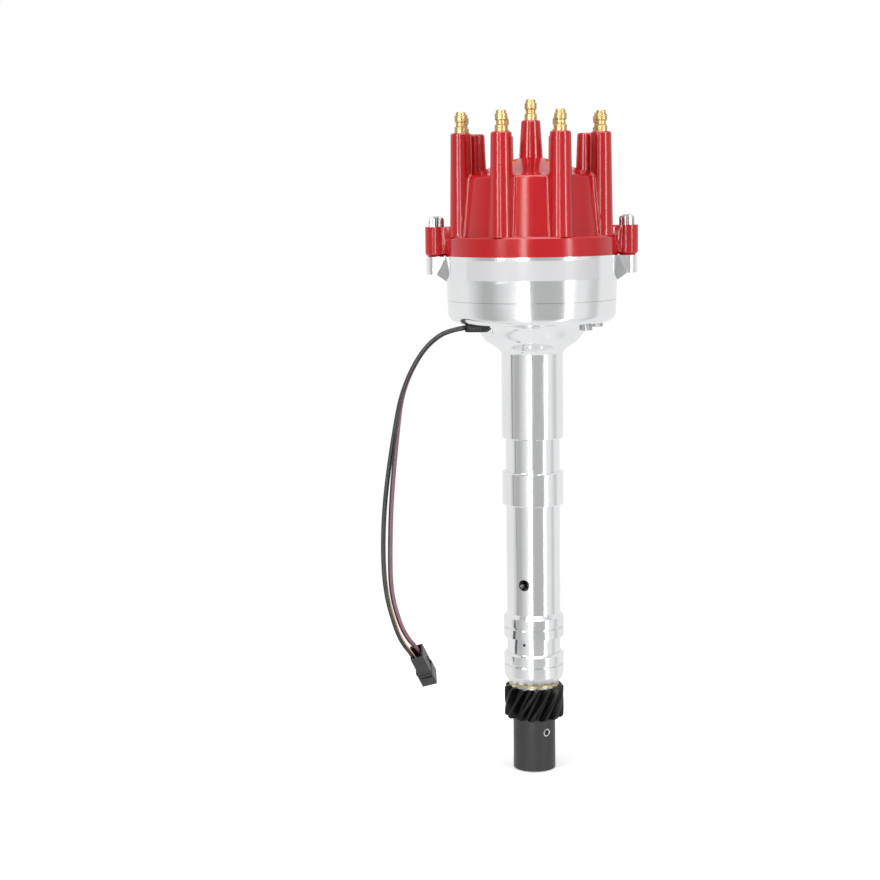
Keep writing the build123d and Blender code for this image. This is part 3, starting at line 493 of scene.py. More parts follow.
@dataclass(frozen=True)
class StripedInsulation:
    """Wire insulation in one colour, with a stripe of another that comes round from behind."""

    name: str
    colour: Colour
    stripe: Colour
    half_width: float
    first: Side
    last: Side
    turn_from: float
    turn_to: float
    edge: float = 0.03
    roughness: float = 0.34
    cloud_noise: float = 200.0
    cloud_rough: float = 0.12
    cloud_gain: float = 1.3
    ripple_noise: float = 900.0
    ripple_depth: float = 0.012 * MM

    def material(self) -> Material:
        """Make the material."""
        graph = Graph(self.name)
        mapped = graph.node("ShaderNodeTexCoord", {}, {}, "UV")
        along = graph.node("ShaderNodeSeparateXYZ", {}, {0: mapped}, 0)
        around = graph.node("ShaderNodeSeparateXYZ", {}, {0: mapped}, 1)
        centre = (along.ramp(self.turn_from, self.turn_to) * (self.last.value - self.first.value)
                  + self.first.value)
        turned = graph.calculate("FRACT", around - centre + 2.5)
        mask = 1.0 - (turned - 0.5).absolute().ramp(self.half_width - self.edge,
                                                    self.half_width + self.edge)
        cloud = graph.noise(self.cloud_noise)
        paler = tuple(part * self.cloud_gain for part in self.colour)
        base = graph.blend(cloud.ramp(*MIDDLE), self.colour, paler)
        return graph.finish(Base_Color=graph.blend(mask, base, self.stripe),
                            Roughness=cloud * self.cloud_rough + self.roughness,
                            Normal=graph.bump(graph.noise(self.ripple_noise), self.ripple_depth))


# ---- Modelling helpers ----

def deselect() -> None:
    """Leave nothing selected."""
    bpy.ops.object.select_all(action="DESELECT")


def hold(piece: Object) -> None:
    """Make one piece the only selected and active one."""
    deselect()
    piece.select_set(True)
    bpy.context.view_layer.objects.active = piece


def new_object(name: str, data: bpy.types.ID) -> Object:
    """Put a camera, lamp, curve or mesh into the scene as an object."""
    made = bpy.data.objects.new(name, data)
    bpy.context.scene.collection.objects.link(made)
    return made


def seat_in_mesh(piece: Object) -> None:
    """Move a piece's place into its mesh, so that its object sits at the origin."""
    hold(piece)
    bpy.ops.object.transform_apply(location=True, rotation=True, scale=True)


def smooth(piece: Object, degrees: float) -> None:
    """Shade a piece smooth, keeping edges sharper than an angle."""
    hold(piece)
    bpy.ops.object.shade_smooth_by_angle(angle=math.radians(degrees))


def modify(piece: Object, kind: str, **settings: object) -> None:
    """Add a modifier, set it and apply it.

    Args:
        piece: The piece to change.
        kind: Blender's type name of the modifier.
        settings: The modifier's attributes.
    """
    hold(piece)
    modifier = piece.modifiers.new(kind.lower(), kind)
    for key, value in settings.items():
        setattr(modifier, key, value)
    bpy.ops.object.modifier_apply(modifier=modifier.name)


def dress(piece: Object, material: Material) -> None:
    """Give a piece one material in every slot."""
    piece.data.materials.clear()
    piece.data.materials.append(material)


def stand_in(piece: Object, node: str, material: Material) -> None:
    """Dress a piece and show it in place of a frame node, on that node's body.

    Args:
        piece: The finished piece.
        node: The frame node that it replaces.
        material: Its finish.
    """
    dress(piece, material)
    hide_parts(node)
    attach(piece, BODY_OF[node])


def shift_mesh(piece: Object, move: Point, size: Point = (1.0, 1.0, 1.0)) -> None:
    """Size and then move a piece inside its mesh, so that its object stays at the origin.

    Args:
        piece: The piece.
        move: How far it moves, in metres.
        size: Its new size along each axis, as a share of the old one.
    """
    hold(piece)
    bpy.ops.object.mode_set(mode="EDIT")
    bpy.ops.mesh.select_all(action="SELECT")
    bpy.ops.transform.resize(value=size, center_override=(0, 0, 0))
    bpy.ops.transform.translate(value=move)
    bpy.ops.object.mode_set(mode="OBJECT")


def extrude(rise: float) -> None:
    """Extrude the selected faces straight up by a rise in metres, in edit mode."""
    bpy.ops.mesh.extrude_region_move(TRANSFORM_OT_translate={"value": (0, 0, rise)})


def widen(share: float) -> None:
    """Scale what is selected about the z axis, in edit mode."""
    bpy.ops.transform.resize(value=(share, share, 1), center_override=(0, 0, 0))


MOST_SKEW = 0.06        # sine of the most that a turned face's normal leaves the plane of its axis
SAME_SLOPE = 0.85       # cosine of the most between turned faces that are averaged
WELD = 1e-6             # metres between corners that are one


@dataclass(frozen=True)
class Spindle:
    """An upright axis that faces were turned about, and the radii between which they lie, in mm."""

    x: float
    y: float
    inner: float
    outer: float


def true_normals(piece: Object, spindles: Sequence[Spindle]) -> None:
    """Give turned faces the normals of the round surface that their triangles stand for.

    A turned face's normal lies in the plane through its axis. Each corner takes that normal, swung
    about the axis to where the corner is and averaged with the turned faces that it runs into.

    Args:
        piece: The piece, already shaded smooth.
        spindles: Axes to look for; each face takes the one that it fits best.
    """
    mesh = piece.data
    turned: dict[int, tuple[Spindle, float, float]] = {}
    meeting: dict[tuple[int, Spindle], list[tuple[float, float]]] = defaultdict(list)
    for face in mesh.polygons:
        matches = []
        for spindle in spindles:
            across = face.center.xy - Vector((spindle.x, spindle.y)) * MM
            reach = across.length
            if spindle.inner * MM < reach < spindle.outer * MM:
                out = across / reach
                skew = abs(face.normal.y * out.x - face.normal.x * out.y)
                matches.append((skew, spindle, face.normal.xy.dot(out)))
        skew, spindle, outward = min(matches, key=lambda match: match[0], default=(1.0, None, 0.0))
        if skew > MOST_SKEW:
            continue
        turned[face.index] = (spindle, outward, face.normal.z)
        for vertex in face.vertices:
            meeting[vertex, spindle].append((outward, face.normal.z))
    normals = [corner.vector.copy() for corner in mesh.corner_normals]
    for face in mesh.polygons:
        if face.index not in turned:
            continue
        spindle, outward, upward = turned[face.index]
        for loop, vertex in zip(face.loop_indices, face.vertices):
            across = mesh.vertices[vertex].co.xy - Vector((spindle.x, spindle.y)) * MM
            if across.length < WELD:
                continue
            near = [slope for slope in meeting[vertex, spindle]
                    if slope[0] * outward + slope[1] * upward > SAME_SLOPE]
            out = across.normalized() * sum(slope[0] for slope in near)
            normals[loop] = Vector((*out, sum(slope[1] for slope in near))).normalized()
    mesh.normals_split_custom_set(normals)


def clean_copy(node: str, name: str) -> Object:
    """Copy a frame node, free of the frame's marks, and weld its loose triangles.

    Args:
        node: The frame node.
        name: Name of the copy.

    Returns:
        The copy, which replaces the node.
    """
    source = frame["nodes"][node]
    piece = source.copy()
    piece.data = source.data.copy()
    piece.name = name
    piece.parent = None
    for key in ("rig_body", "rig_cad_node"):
        if key in piece:
            del piece[key]
    bpy.context.scene.collection.objects.link(piece)
    hold(piece)
    bpy.ops.object.mode_set(mode="EDIT")
    bpy.ops.mesh.select_all(action="SELECT")
    bpy.ops.mesh.remove_doubles(threshold=WELD)
    bpy.ops.object.mode_set(mode="OBJECT")
    return piece


# ---- Studio ----

@dataclass(frozen=True)
class Card:
    """A bright or dark card beside the table, by its azimuths in degrees from the front."""

    start: float
    end: float
    fade_in: float
    fade_out: float
    gain: float


@dataclass(frozen=True)
class Softbox:
    """A rectangular lamp that looks at a point, in metres and watts."""

    name: str
    place: Point
    aim: Point
    size: Range
    power: float

    def build(self, shine: float) -> None:
        """Hang the lamp.

        Args:
            shine: Share of its light that glossy faces mirror.
        """
        data = bpy.data.lights.new(self.name, "AREA")
        data.shape = "RECTANGLE"
        data.size, data.size_y = self.size
        data.energy = self.power
        data.specular_factor = shine
        lamp = new_object(self.name, data)
        turn = (Vector(self.place) - Vector(self.aim)).to_track_quat("Z", "Y")
        lamp.matrix_world = Matrix.Translation(self.place) @ turn.to_matrix().to_4x4()


@dataclass
class Studio:
    """Camera, white floor, cards and soft lamps."""

    focal_pixels: float = 1870.0
    frame_pixels: float = 880.0
    sensor: float = 36.0
    distance: float = 0.99087
    height: float = 0.10612
    pitch: float = math.radians(7.464)
    yaw: float = math.radians(2.86)
    roll: float = math.radians(-0.72)
    floor: float = -0.2040
    floor_size: float = 8.0
    floor_shade: Colour = (0.9, 0.9, 0.9)
    floor_lift: float = 0.32
    shadow_reach: Range = (0.10, 0.42)
    near_floor: Range = (0.12, 0.30)
    floor_glow: float = 0.93
    fill: float = 0.42
    surround: float = 0.89
    cards: tuple[Card, ...] = (
        Card(-68.0, -55.0, 30.0, 30.0, -0.41), Card(-19.0, -5.0, 14.0, 2.0, 0.10),
        Card(-12.5, -8.0, 2.5, 2.0, 9.0), Card(-3.0, 42.0, 2.0, 3.0, -0.38),
        Card(50.0, 52.5, 1.5, 2.0, 7.0), Card(90.0, 97.0, 14.0, 9.0, -0.24))
    lamp_shine: float = 0.3
    lamps: tuple[Softbox, ...] = (
        Softbox("softbox_left", (-0.75, -0.9, 0.55), (0, 0, 0.02), (0.25, 1.0), 9.0),
        Softbox("softbox_right", (0.85, -0.7, 0.5), (0, 0, 0.02), (0.2, 0.9), 6.0),
        Softbox("top_light", (0.0, -0.1, 1.1), (0, 0, 0.1), (0.8, 0.8), 7.0))

    def camera(self) -> None:
        """Set the camera up in front of the object."""
        data = bpy.data.cameras.new("camera")
        data.sensor_width = self.sensor
        data.lens = self.sensor * self.focal_pixels / self.frame_pixels
        camera = new_object("camera", data)
        turn = (Matrix.Rotation(self.yaw, 4, "Z")
                @ Matrix.Rotation(math.pi / 2 - self.pitch, 4, "X")
                @ Matrix.Rotation(self.roll, 4, "Z"))
        camera.matrix_world = Matrix.Translation((0, -self.distance, self.height)) @ turn
        bpy.context.scene.camera = camera

    def reflected(self, graph: Graph) -> Signal:
        """Brightness that polished faces meet in a direction, from the cards about the table.

        Args:
            graph: The graph to add to, whose place tells the direction.

        Returns:
            The brightness.
        """
        ahead = graph.axis(1) * -1.0
        azimuth = graph.calculate("ARCTAN2", graph.axis(0), ahead) * math.degrees(1.0)
        total: Value = self.surround
        for card in self.cards:
            rise = azimuth.ramp(card.start - card.fade_in, card.start)
            fall = azimuth.ramp(card.end, card.end + card.fade_out)
            total = total + (rise - fall) * card.gain
        return total

    def sweep(self) -> None:
        """Lay a white floor that keeps the object's shadow and mirrors as the cards do."""
        deselect()
        bpy.ops.mesh.primitive_plane_add(size=self.floor_size, location=(0, 0, 0))
        floor = bpy.context.object
        floor.name = "studio_floor"
        shift_mesh(floor, (0, 0, self.floor))
        graph = Graph("studio_white")
        shade = graph.node("ShaderNodeBsdfDiffuse", {}, {"Color": (*self.floor_shade, 1.0)})
        near = graph.node("ShaderNodeAddShader", {}, {0: shade, 1: graph.glow(self.floor_lift)})
        away = graph.radius().ramp(*self.shadow_reach)
        seen = graph.node("ShaderNodeMixShader", {}, {0: away, 1: near, 2: graph.glow(1.0)})
        far = graph.radius().ramp(*self.near_floor)
        cards = self.reflected(graph) * far + (1.0 - far) * self.floor_glow
        path = graph.node("ShaderNodeLightPath", {}, {}, "Is Glossy Ray")
        both = graph.node("ShaderNodeMixShader", {}, {0: path, 1: seen, 2: graph.glow(cards)})
        graph.node("ShaderNodeOutputMaterial", {}, {"Surface": both})
        dress(floor, graph.material)

    def world(self) -> None:
        """Light the room softly, with the cards where only polished faces meet them."""
        world = bpy.data.worlds.new("studio")
        bpy.context.scene.world = world
        graph = Graph("studio", world, "Generated")
        glossy = graph.node("ShaderNodeLightPath", {}, {}, "Is Glossy Ray")
        camera = graph.node("ShaderNodeLightPath", {}, {}, "Is Camera Ray")
        cards = self.reflected(graph)
        strength = camera + (1.0 - camera) * (glossy * cards + (1.0 - glossy) * self.fill)
        glow = graph.node("ShaderNodeBackground", {}, {"Color": WHITE, "Strength": strength})
        graph.node("ShaderNodeOutputWorld", {}, {"Surface": glow})

    def build(self) -> None:
        """Set up the whole studio."""
        bpy.context.scene.view_settings.view_transform = "Standard"
        self.camera()
        self.sweep()
        self.world()
        for lamp in self.lamps:
            lamp.build(self.lamp_shine)


# ---- Leads ----

@dataclass
class PickupLead:
    """One pickup wire, from the grommet to the plug, by its steps from the leads' start in mm."""

    node: str
    steps: Sequence[Point]
    length: float
    diameter: float = 2.5 * MM
    sides: int = 20

    def spline(self) -> Object:
        """Make the wire's line as a smooth curve through the room."""
        data = bpy.data.curves.new(self.node + "_line", "CURVE")
        data.dimensions = "3D"
        data.resolution_u = 10
        spline = data.splines.new("NURBS")
        spline.points.add(len(self.steps) - 1)
        for point, step in zip(spline.points, self.steps):
            point.co = (*((LEADS_START + Vector(step)) * MM), 1.0)
        spline.order_u = 3
        spline.use_endpoint_u = True
        return new_object(self.node + "_line", data)

    def tube(self, points: Sequence[Vector]) -> Object:
        """Skin the line with a round tube whose UV runs along and around it.

        Args:
            points: Points of the line.

        Returns:
            The tube.
        """
        mesh = bpy.data.meshes.new("lead_" + self.node)
        shape = bmesh.new()
        layer = shape.loops.layers.uv.new("UVMap")
        radius = self.diameter / 2
        turns = [2 * math.pi * k / self.sides for k in range(self.sides)]
        rings, previous = [], Vector((0, -1, 0))
        for index, point in enumerate(points):
            ahead = points[min(index + 1, len(points) - 1)] - points[max(index - 1, 0)]
            ahead.normalize()
            side = previous - ahead * previous.dot(ahead)
            side.normalize()
            previous = side
            up = ahead.cross(side)
            rings.append([shape.verts.new(
                point + (side * math.cos(turn) + up * math.sin(turn)) * radius) for turn in turns])
        last = len(rings) - 1
        for index, (low, high) in enumerate(zip(rings, rings[1:])):
            for k in range(self.sides):
                after = (k + 1) % self.sides
                face = shape.faces.new((low[k], low[after], high[after], high[k]))
                corners = ((index, k), (index, k + 1), (index + 1, k + 1), (index + 1, k))
                for loop, (row, step) in zip(face.loops, corners):
                    loop[layer].uv = (row / last, step / self.sides)
                face.smooth = True
        shape.faces.new(list(reversed(rings[0])))
        shape.faces.new(rings[-1])
        shape.to_mesh(mesh)
        shape.free()
        return new_object("lead_" + self.node, mesh)

    def build(self, material: Material, plug: Sequence[Object]) -> None:
        """Args:
            material: The wire's finish.
            plug: Pieces that hang on the wire; not used.
        """
        line = self.spline()
        drawn = bpy.data.meshes.new_from_object(line)
        points = [vertex.co.copy() for vertex in drawn.vertices]
        bpy.data.objects.remove(line)
        wire = self.tube(points)
        stand_in(wire, self.node, material)


BODY_FOOT = 39.1            # level of the body's underside, in mm
LEADS_START = Vector((-34.786, -18.093, BODY_FOOT))
ORANGE_STEPS: Sequence[Point] = (
    (0.0, 1.5, -1.7), (-6.4, 1.7, -2.8), (-14.9, 2.0, -6.3), (-24.5, 1.8, -16.1),
    (-33.6, 0.7, -34.8), (-38.1, -0.6, -57.6), (-43.1, -3.9, -90.8), (-44.4, -7.2, -118.8),
    (-42.9, -11.2, -140.0), (-38.0, -14.9, -157.0), (-34.4, -13.8, -166.1),
    (-30.07, -9.22, -173.0), (-27.43, -4.7, -179.04))
VIOLET_STEPS: Sequence[Point] = (
    (0.0, -1.5, -1.7), (-6.3, -1.5, -2.5), (-14.7, -1.2, -6.0), (-24.0, -1.4, -15.5),
    (-33.2, -2.5, -34.3), (-36.2, -3.5, -57.6), (-39.5, -5.4, -90.5), (-40.4, -7.4, -114.8),
    (-40.3, -10.6, -139.0), (-35.7, -13.4, -155.5), (-31.7, -11.5, -164.3),
    (-27.59, -7.08, -170.31), (-24.94, -2.55, -176.35))


# ---- Parts from the frame, welded and shaded ----

CORE = 0.3                  # radius about each axis where faces keep their own normals, in mm
TOWER_COUNT, TOWER_CIRCLE = 8, 39.0
POST_CIRCLE, LUG_CIRCLE = 29.0, 50.0
LUG_TOP = 89.5              # level of the cap lugs' seats, in mm


def ring_of(count: int, circle: float, first: float, outer: float) -> tuple[Spindle, ...]:
    """Space upright axes evenly about the shaft.

    Args:
        count: Number of axes.
        circle: Radius of their circle in mm.
        first: Angle of the first in degrees.
        outer: Radius about each axis within which faces belong to it, in mm.

    Returns:
        The axes.
    """
    turns = [math.radians(first + step * 360.0 / count) for step in range(count)]
    return tuple(Spindle(circle * math.cos(turn), circle * math.sin(turn), CORE, outer)
                 for turn in turns)


TOWERS = ring_of(TOWER_COUNT, TOWER_CIRCLE, 180.0 / TOWER_COUNT, 7.0)
POSTS = ring_of(2, POST_CIRCLE, 0.0, 6.5)
LUGS = ring_of(2, LUG_CIRCLE, 0.0, 6.6)
SHAFT = Spindle(0.0, 0.0, CORE, 60.0)


@dataclass(frozen=True)
class TrueCopy:
    """A frame node shown by its own welded copy, with the true normals of its turned faces."""

    node: str
    spindles: tuple[Spindle, ...] = (SHAFT,)
    edge_angle: float = 30.0

    def build(self, material: Material) -> None:
        """Args:
            material: The part's finish.
        """
        piece = clean_copy(self.node, "dressed_" + self.node)
        smooth(piece, self.edge_angle)
        true_normals(piece, self.spindles)
        stand_in(piece, self.node, material)


# ---- Hardware ----

FACING = 0.9        # least cosine between a face's normal and the way it is said to face
PAST = 1.0          # how far a cut runs past the face it leaves by, in mm


def pick_faces(piece: Object, wanted: Callable[[bmesh.types.BMFace], bool]) -> None:
    """Select in edit mode the faces that a test accepts.

    Args:
        piece: The piece in edit mode.
        wanted: The test.
    """
    bpy.ops.mesh.select_all(action="DESELECT")
    shape = bmesh.from_edit_mesh(piece.data)
    for face in filter(wanted, shape.faces):
        face.select_set(True)
    bmesh.update_edit_mesh(piece.data)


def block(name: str, low: Point, high: Point) -> Object:
    """Make a box between two corners.

    Args:
        name: Name of the box.
        low: Lowest corner in mm.
        high: Highest corner in mm.

    Returns:
        The box.
    """
    deselect()
    bpy.ops.mesh.primitive_cube_add(size=1.0)
    piece = bpy.context.object
    piece.name = name
    shift_mesh(piece, tuple((a + b) / 2 * MM for a, b in zip(low, high)),
               tuple((b - a) * MM for a, b in zip(low, high)))
    return piece


def rod(name: str, radius: float, low: float, high: float, sides: int) -> Object:
    """Make an upright cylinder about the z axis.

    Args:
        name: Name of the cylinder.
        radius: Its radius in mm.
        low: Its lower level in mm.
        high: Its upper level in mm.
        sides: Number of its sides.

    Returns:
        The cylinder.
    """
    deselect()
    bpy.ops.mesh.primitive_cylinder_add(vertices=sides, radius=radius * MM,
                                        depth=(high - low) * MM)
    piece = bpy.context.object
    piece.name = name
    shift_mesh(piece, (0, 0, (low + high) / 2 * MM))
    return piece


def join_by(piece: Object, other: Object, operation: str) -> None:
    """Combine a second piece with the first and remove it.

    Args:
        piece: The piece to keep.
        other: The piece that is used up.
        operation: UNION, DIFFERENCE or INTERSECT.
    """
    modify(piece, "BOOLEAN", operation=operation, object=other, solver="EXACT")
    bpy.data.objects.remove(other)


@dataclass(frozen=True)
class SerratedScrew:
    """A screw with a serrated, domed and slotted head, in mm."""

    head_radius: float
    head_height: float
    dome_rise: float
    shank_radius: float
    shank_length: float
    slot_width: float
    slot_depth: float
    teeth: int = 26
    root_share: float = 0.93
    dome_steps: int = 5
    dome_top: float = 0.12
    edge_angle: float = 24.0

    def serrate(self, piece: Object) -> None:
        """Draw every other vertex of the head inwards."""
        shape = bmesh.from_edit_mesh(piece.data)
        bpy.ops.mesh.select_all(action="DESELECT")
        for vertex in shape.verts:
            sector = round(math.atan2(vertex.co.y, vertex.co.x) / (math.pi / self.teeth) - 0.5)
            vertex.select_set(sector % 2 == 0)
        bmesh.update_edit_mesh(piece.data)
        widen(self.root_share)

    def dome(self, piece: Object) -> None:
        """Round the head's top in a few lifted and narrowed steps of a quarter ellipse."""
        angles = [math.asin(step / self.dome_steps) for step in range(self.dome_steps + 1)]
        for before, after in zip(angles, angles[1:]):
            top = max(vertex.co.z for vertex in bmesh.from_edit_mesh(piece.data).verts)
            pick_faces(piece, lambda face: face.calc_center_median().z > top - WELD / 10)
            extrude(self.dome_rise * (math.sin(after) - math.sin(before)) * MM)
            widen(max(math.cos(after), self.dome_top) / math.cos(before))

    def build(self, name: str, seat: Point, roll: float, flip: bool = False) -> Object:
        """Make one screw.

        Args:
            name: Name of the piece.
            seat: Where the head's underside meets the axis, in mm.
            roll: Turn of the slot about the axis, in degrees.
            flip: Whether the head points down.

        Returns:
            The screw, placed.
        """
        piece = rod(name, self.head_radius, 0.0, self.head_height - self.dome_rise, 2 * self.teeth)
        bpy.ops.object.mode_set(mode="EDIT")
        self.serrate(piece)
        self.dome(piece)
        pick_faces(piece, lambda face: face.normal.z < -FACING)
        extrude(0.0)
        widen(self.shank_radius / self.head_radius)
        extrude(-self.shank_length * MM)
        bpy.ops.object.mode_set(mode="OBJECT")
        if self.slot_width:
            reach = self.head_radius + PAST
            cut = block("slot", (-reach, -self.slot_width / 2, self.head_height - self.slot_depth),
                        (reach, self.slot_width / 2, self.head_height + PAST))
            join_by(piece, cut, "DIFFERENCE")
        piece.matrix_world = (Matrix.Translation(Vector(seat) * MM)
                              @ Matrix.Rotation(math.pi if flip else 0.0, 4, "X")
                              @ Matrix.Rotation(math.radians(roll), 4, "Z"))
        seat_in_mesh(piece)
        smooth(piece, self.edge_angle)
        modify(piece, "WEIGHTED_NORMAL", keep_sharp=True)
        return piece


@dataclass(frozen=True)
class Fasteners:
    """The screws of one frame node."""

    node: str
    kind: SerratedScrew
    seats: tuple[Point, ...]
    rolls: tuple[float, ...]
    flip: bool = False

    def build(self, material: Material) -> None:
        """Args:
            material: Their finish.
        """
        for index, (seat, roll) in enumerate(zip(self.seats, self.rolls)):
            piece = self.kind.build(f"{self.node}_{index}", seat, roll, self.flip)
            stand_in(piece, self.node, material)


@dataclass(frozen=True)
class HelicalGear:
    """The drive gear on its hub, bored for the shaft and drilled for the roll pin, in mm."""

    bottom: float = -174.9
    top: float = -157.7
    teeth: int = 13
    tip: float = 16.0
    root: float = 12.2
    twist: float = 40.3
    steps: int = 28
    chamfer: float = 0.9
    hub: float = 11.4
    hub_bottom: float = -203.4
    hub_overlap: float = 0.5
    bore: float = 6.36
    pin: float = 2.2
    pin_level: float = -182.4
    pin_azimuth: float = -53.0
    edge_angle: float = 28.0
    tip_sides: int = 128
    hub_sides: int = 96
    bore_sides: int = 64
    pin_sides: int = 40
    flank: tuple[float, ...] = (0.0, 0.30, 0.76, 1.0, 1.0, 0.76, 0.30, 0.0)
    flank_at: tuple[float, ...] = (0.13, 0.22, 0.34, 0.385, 0.615, 0.66, 0.78, 0.87)

    def toothed(self) -> Object:
        """Raise the toothed section in thin slices, each turned a little further."""
        points = len(self.flank)
        deselect()
        bpy.ops.mesh.primitive_circle_add(vertices=self.teeth * points, radius=self.root * MM,
                                          fill_type="NGON")
        piece = bpy.context.object
        piece.name = "helical_gear"
        hold(piece)
        bpy.ops.object.mode_set(mode="EDIT")
        shape = bmesh.from_edit_mesh(piece.data)
        around = sorted(shape.verts, key=lambda vertex: math.atan2(vertex.co.y, vertex.co.x)
                        % (2 * math.pi))
        for index, vertex in enumerate(around):
            tooth, part = divmod(index, points)
            angle = 2 * math.pi * (tooth + self.flank_at[part]) / self.teeth
            reach = (self.root + (self.tip - self.root) * self.flank[part]) * MM
            vertex.co = Vector((reach * math.cos(angle), reach * math.sin(angle), self.bottom * MM))
        bmesh.update_edit_mesh(piece.data)
        bpy.ops.mesh.select_all(action="SELECT")
        rise = (self.top - self.bottom) / self.steps * MM
        for _ in range(self.steps):
            extrude(rise)
            bpy.ops.transform.rotate(value=-math.radians(self.twist / self.steps), orient_axis="Z",
                                     center_override=(0, 0, 0))
        bpy.ops.mesh.select_all(action="SELECT")
        bpy.ops.mesh.normals_make_consistent(inside=False)
        bpy.ops.object.mode_set(mode="OBJECT")
        return piece

    def build(self, material: Material) -> None:
        """Args:
            material: Its finish.
        """
        piece = self.toothed()
        blank = rod("blank", self.tip, self.bottom, self.top, self.tip_sides)
        modify(blank, "BEVEL", width=self.chamfer * MM, segments=1, limit_method="ANGLE")
        join_by(piece, blank, "INTERSECT")
        join_by(piece, rod("hub", self.hub, self.hub_bottom, self.bottom + self.hub_overlap,
                           self.hub_sides), "UNION")
        join_by(piece, rod("bore", self.bore, self.hub_bottom - PAST, self.top + PAST,
                           self.bore_sides), "DIFFERENCE")
        hole = rod("hole", self.pin, -2 * self.hub, 2 * self.hub, self.pin_sides)
        hole.matrix_world = (Matrix.Translation((0, 0, self.pin_level * MM))
                             @ Matrix.Rotation(math.radians(self.pin_azimuth), 4, "Z")
                             @ Matrix.Rotation(math.pi / 2, 4, "Y"))
        seat_in_mesh(hole)
        join_by(piece, hole, "DIFFERENCE")
        smooth(piece, self.edge_angle)
        modify(piece, "WEIGHTED_NORMAL", keep_sharp=True)
        stand_in(piece, "drive_gear", material)


@dataclass(frozen=True)
class Plug:
    """The two-way plug on the leads, with an open back, a collar, an ear and a latch, in mm."""

    front: Point
    axis: Point
    across: Point
    length: float = 23.0
    width: float = 7.0
    depth: float = 9.2
    wall: float = 0.9
    pocket: float = 7.4
    collar: float = 8.2
    rim: float = 0.7
    overlap: float = 1.0
    ear_reach: float = 1.12
    ear_height: float = 2.4
    latch_sides: Range = (0.6, 2.6)
    latch_levels: Range = (5.0, 6.4)
    latch_reach: float = 0.6
    groove_width: float = 1.2
    groove_depth: float = 0.9
    groove_drop: float = 0.8
    groove_inset: float = 0.4
    mouth_wall: float = 1.0
    mouth_sill: float = 0.6
    mouth_depth: float = 4.0
    softness: float = 0.25
    edge_angle: float = 60.0

    def build(self, material: Material) -> Object:
        """Args:
            material: Its finish.

        Returns:
            The plug.
        """
        half_w, half_d = self.width / 2, self.depth / 2
        piece = block("plug_shell", (-half_w, -half_d, 0), (half_w, half_d, self.length))
        hold(piece)
        bpy.ops.object.mode_set(mode="EDIT")
        pick_faces(piece, lambda face: face.normal.z > FACING)
        bpy.ops.mesh.inset(thickness=self.wall * MM)
        extrude(-self.pocket * MM)
        bpy.ops.object.mode_set(mode="OBJECT")
        rim, top, lap = self.rim, self.collar, self.overlap
        for name, low, high in (
                ("collar", (-half_w - rim, -half_d - rim, 0), (half_w + rim / 2, half_d, top)),
                ("ear", (-half_w - self.ear_reach, -half_d, top),
                 (-half_w + lap, half_d, top + self.ear_height)),
                ("latch", (half_w - lap, self.latch_sides[0], top + self.latch_levels[0]),
                 (half_w + self.latch_reach, self.latch_sides[1], top + self.latch_levels[1]))):
            join_by(piece, block(name, low, high), "UNION")
        face, groove_top = -half_d - rim, top - self.groove_drop
        for low, high in (
                ((-half_w + self.groove_inset, face - PAST, groove_top - self.groove_width),
                 (half_w - self.groove_inset, face + self.groove_depth, groove_top)),
                ((-half_w + self.mouth_wall, -half_d + self.mouth_sill, -PAST),
                 (half_w - self.mouth_wall, half_d - self.mouth_wall, self.mouth_depth))):
            join_by(piece, block("cut", low, high), "DIFFERENCE")
        modify(piece, "BEVEL", width=self.softness * MM, segments=2, limit_method="ANGLE")
        upward = Vector(self.axis).normalized()
        sideways = (Vector(self.across) - upward * upward.dot(Vector(self.across))).normalized()
        turn = Matrix((sideways, upward.cross(sideways), upward)).transposed().to_4x4()
        piece.matrix_world = Matrix.Translation(Vector(self.front) * MM) @ turn
        seat_in_mesh(piece)
        smooth(piece, self.edge_angle)
        modify(piece, "WEIGHTED_NORMAL", keep_sharp=True)
        stand_in(piece, "connector_shell", material)
        return piece


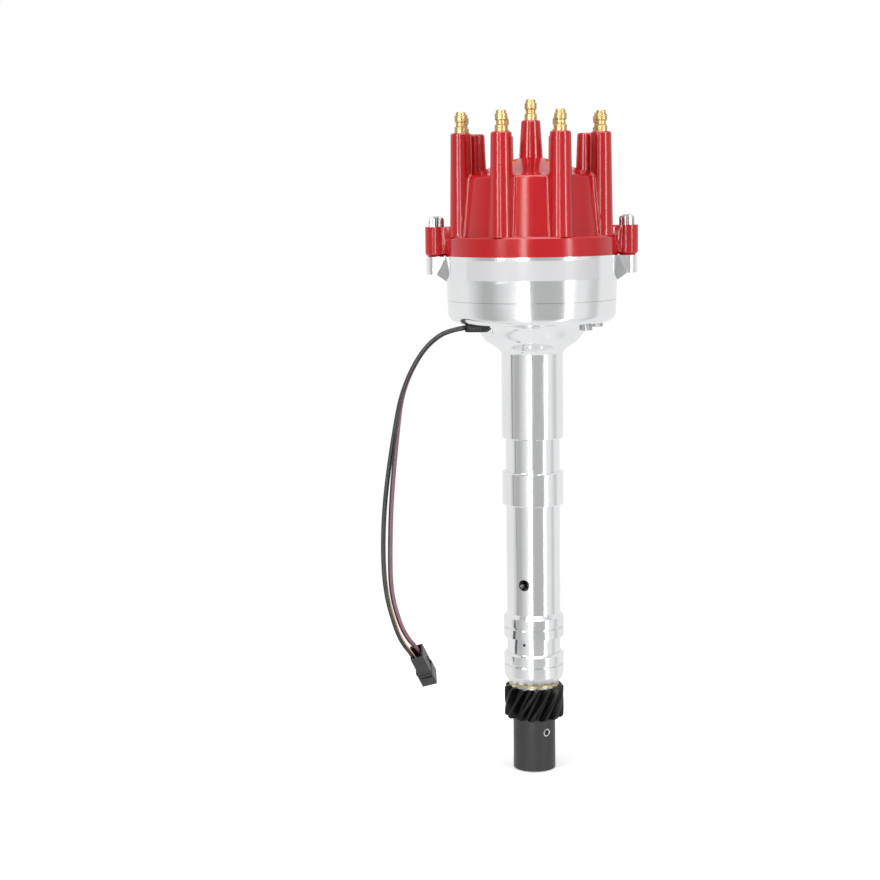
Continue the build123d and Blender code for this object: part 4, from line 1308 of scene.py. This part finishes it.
def main() -> None:
    """Build and dress the distributor."""
    logging.basicConfig(level=logging.INFO, format="%(message)s")
    Studio().build()
    finishes = (
        PolishedAluminium(), GlossMoulding(), BlackOxide(),
        TurnedMetal("brass", linear(190, 166, 120), linear(176, 148, 98), 0.33),
        TurnedMetal("bright_steel", linear(196, 197, 200), linear(150, 151, 155), 0.2),
        TurnedMetal("bronze", linear(200, 184, 134), linear(172, 150, 100), 0.25),
        TurnedMetal("plated_steel", linear(196, 192, 176), linear(160, 152, 128), 0.3),
        DullMoulding("rotor_moulding", linear(150, 30, 34), 0.35, 600.0),
        DullMoulding("black_rubber", linear(18, 18, 19), 0.45, 700.0, 0.03 * MM),
        DullMoulding("black_nylon", linear(34, 34, 36), 0.3, 1100.0),
        DullMoulding("ferrite", linear(62, 60, 60), 0.5, 900.0),
        DullMoulding("carbon", linear(44, 44, 46), 0.6, 1500.0),
        StripedInsulation("black_orange_insulation", linear(33, 37, 32), linear(216, 152, 106),
                          0.09, Side.BACK, Side.RIGHT, 0.42, 0.72),
        StripedInsulation("violet_black_insulation", linear(31, 28, 31), linear(122, 82, 98),
                          0.23, Side.BACK, Side.RIGHT, 0.12, 0.45))
    paints = {finish.name: finish.material() for finish in finishes}
    copies = (
        TrueCopy("housing", (SHAFT, *LUGS)),
        TrueCopy("distributor_cap", (SHAFT, *TOWERS, *POSTS, *LUGS)),
        TrueCopy("tower_terminals", TOWERS, 40.0), TrueCopy("coil_terminal"),
        TrueCopy("post_inserts", POSTS), TrueCopy("main_shaft"),
        TrueCopy("gear_roll_pin", ()), TrueCopy("thrust_washer"), TrueCopy("thrust_shim"),
        TrueCopy("wire_grommet", (), 60.0))
    for copy in copies:
        copy.build(paints[SLOT_OF[copy.node]])
    screws = (
        Fasteners("cap_screws", SerratedScrew(4.0, 5.6, 2.2, 2.0, 22.9, 1.1, 1.7, root_share=0.92),
                  ((-LUG_CIRCLE, 0.0, LUG_TOP), (LUG_CIRCLE, 0.0, LUG_TOP)), (112.0, 100.0)),
        Fasteners("pickup_screws", SerratedScrew(3.4, 3.6, 0.5, 2.0, 7.8, 0.0, 0.0, 18, 0.9, 2),
                  ((27.83, -20.89, BODY_FOOT), (34.27, 6.04, BODY_FOOT)), (0.0, 0.0), True))
    for group in screws:
        group.build(paints[SLOT_OF[group.node]])
    HelicalGear().build(paints["black_oxide_steel"])
    shell = Plug((-56.0, -11.5, -151.2), (-0.27, -0.585, 0.765), (0.94, -0.13, 0.315))
    plug = [shell.build(paints["black_nylon"]), frame["nodes"]["connector_contacts"]]
    PickupLead("orange_wire", ORANGE_STEPS, 0.2017).build(paints["black_orange_insulation"], plug)
    PickupLead("violet_wire", VIOLET_STEPS, 0.1981).build(paints["violet_black_insulation"], plug)
    shown = {"drive_gear", "connector_shell"} | {part.node for part in (*copies, *screws)}
    for node, piece in frame["nodes"].items():
        if node not in shown and not node.endswith("_wire"):
            dress(piece, paints[SLOT_OF[node]])
    LOG.info("%d parts of the frame shown by their own copies", len(shown))


if __name__ == "__main__":
    main()
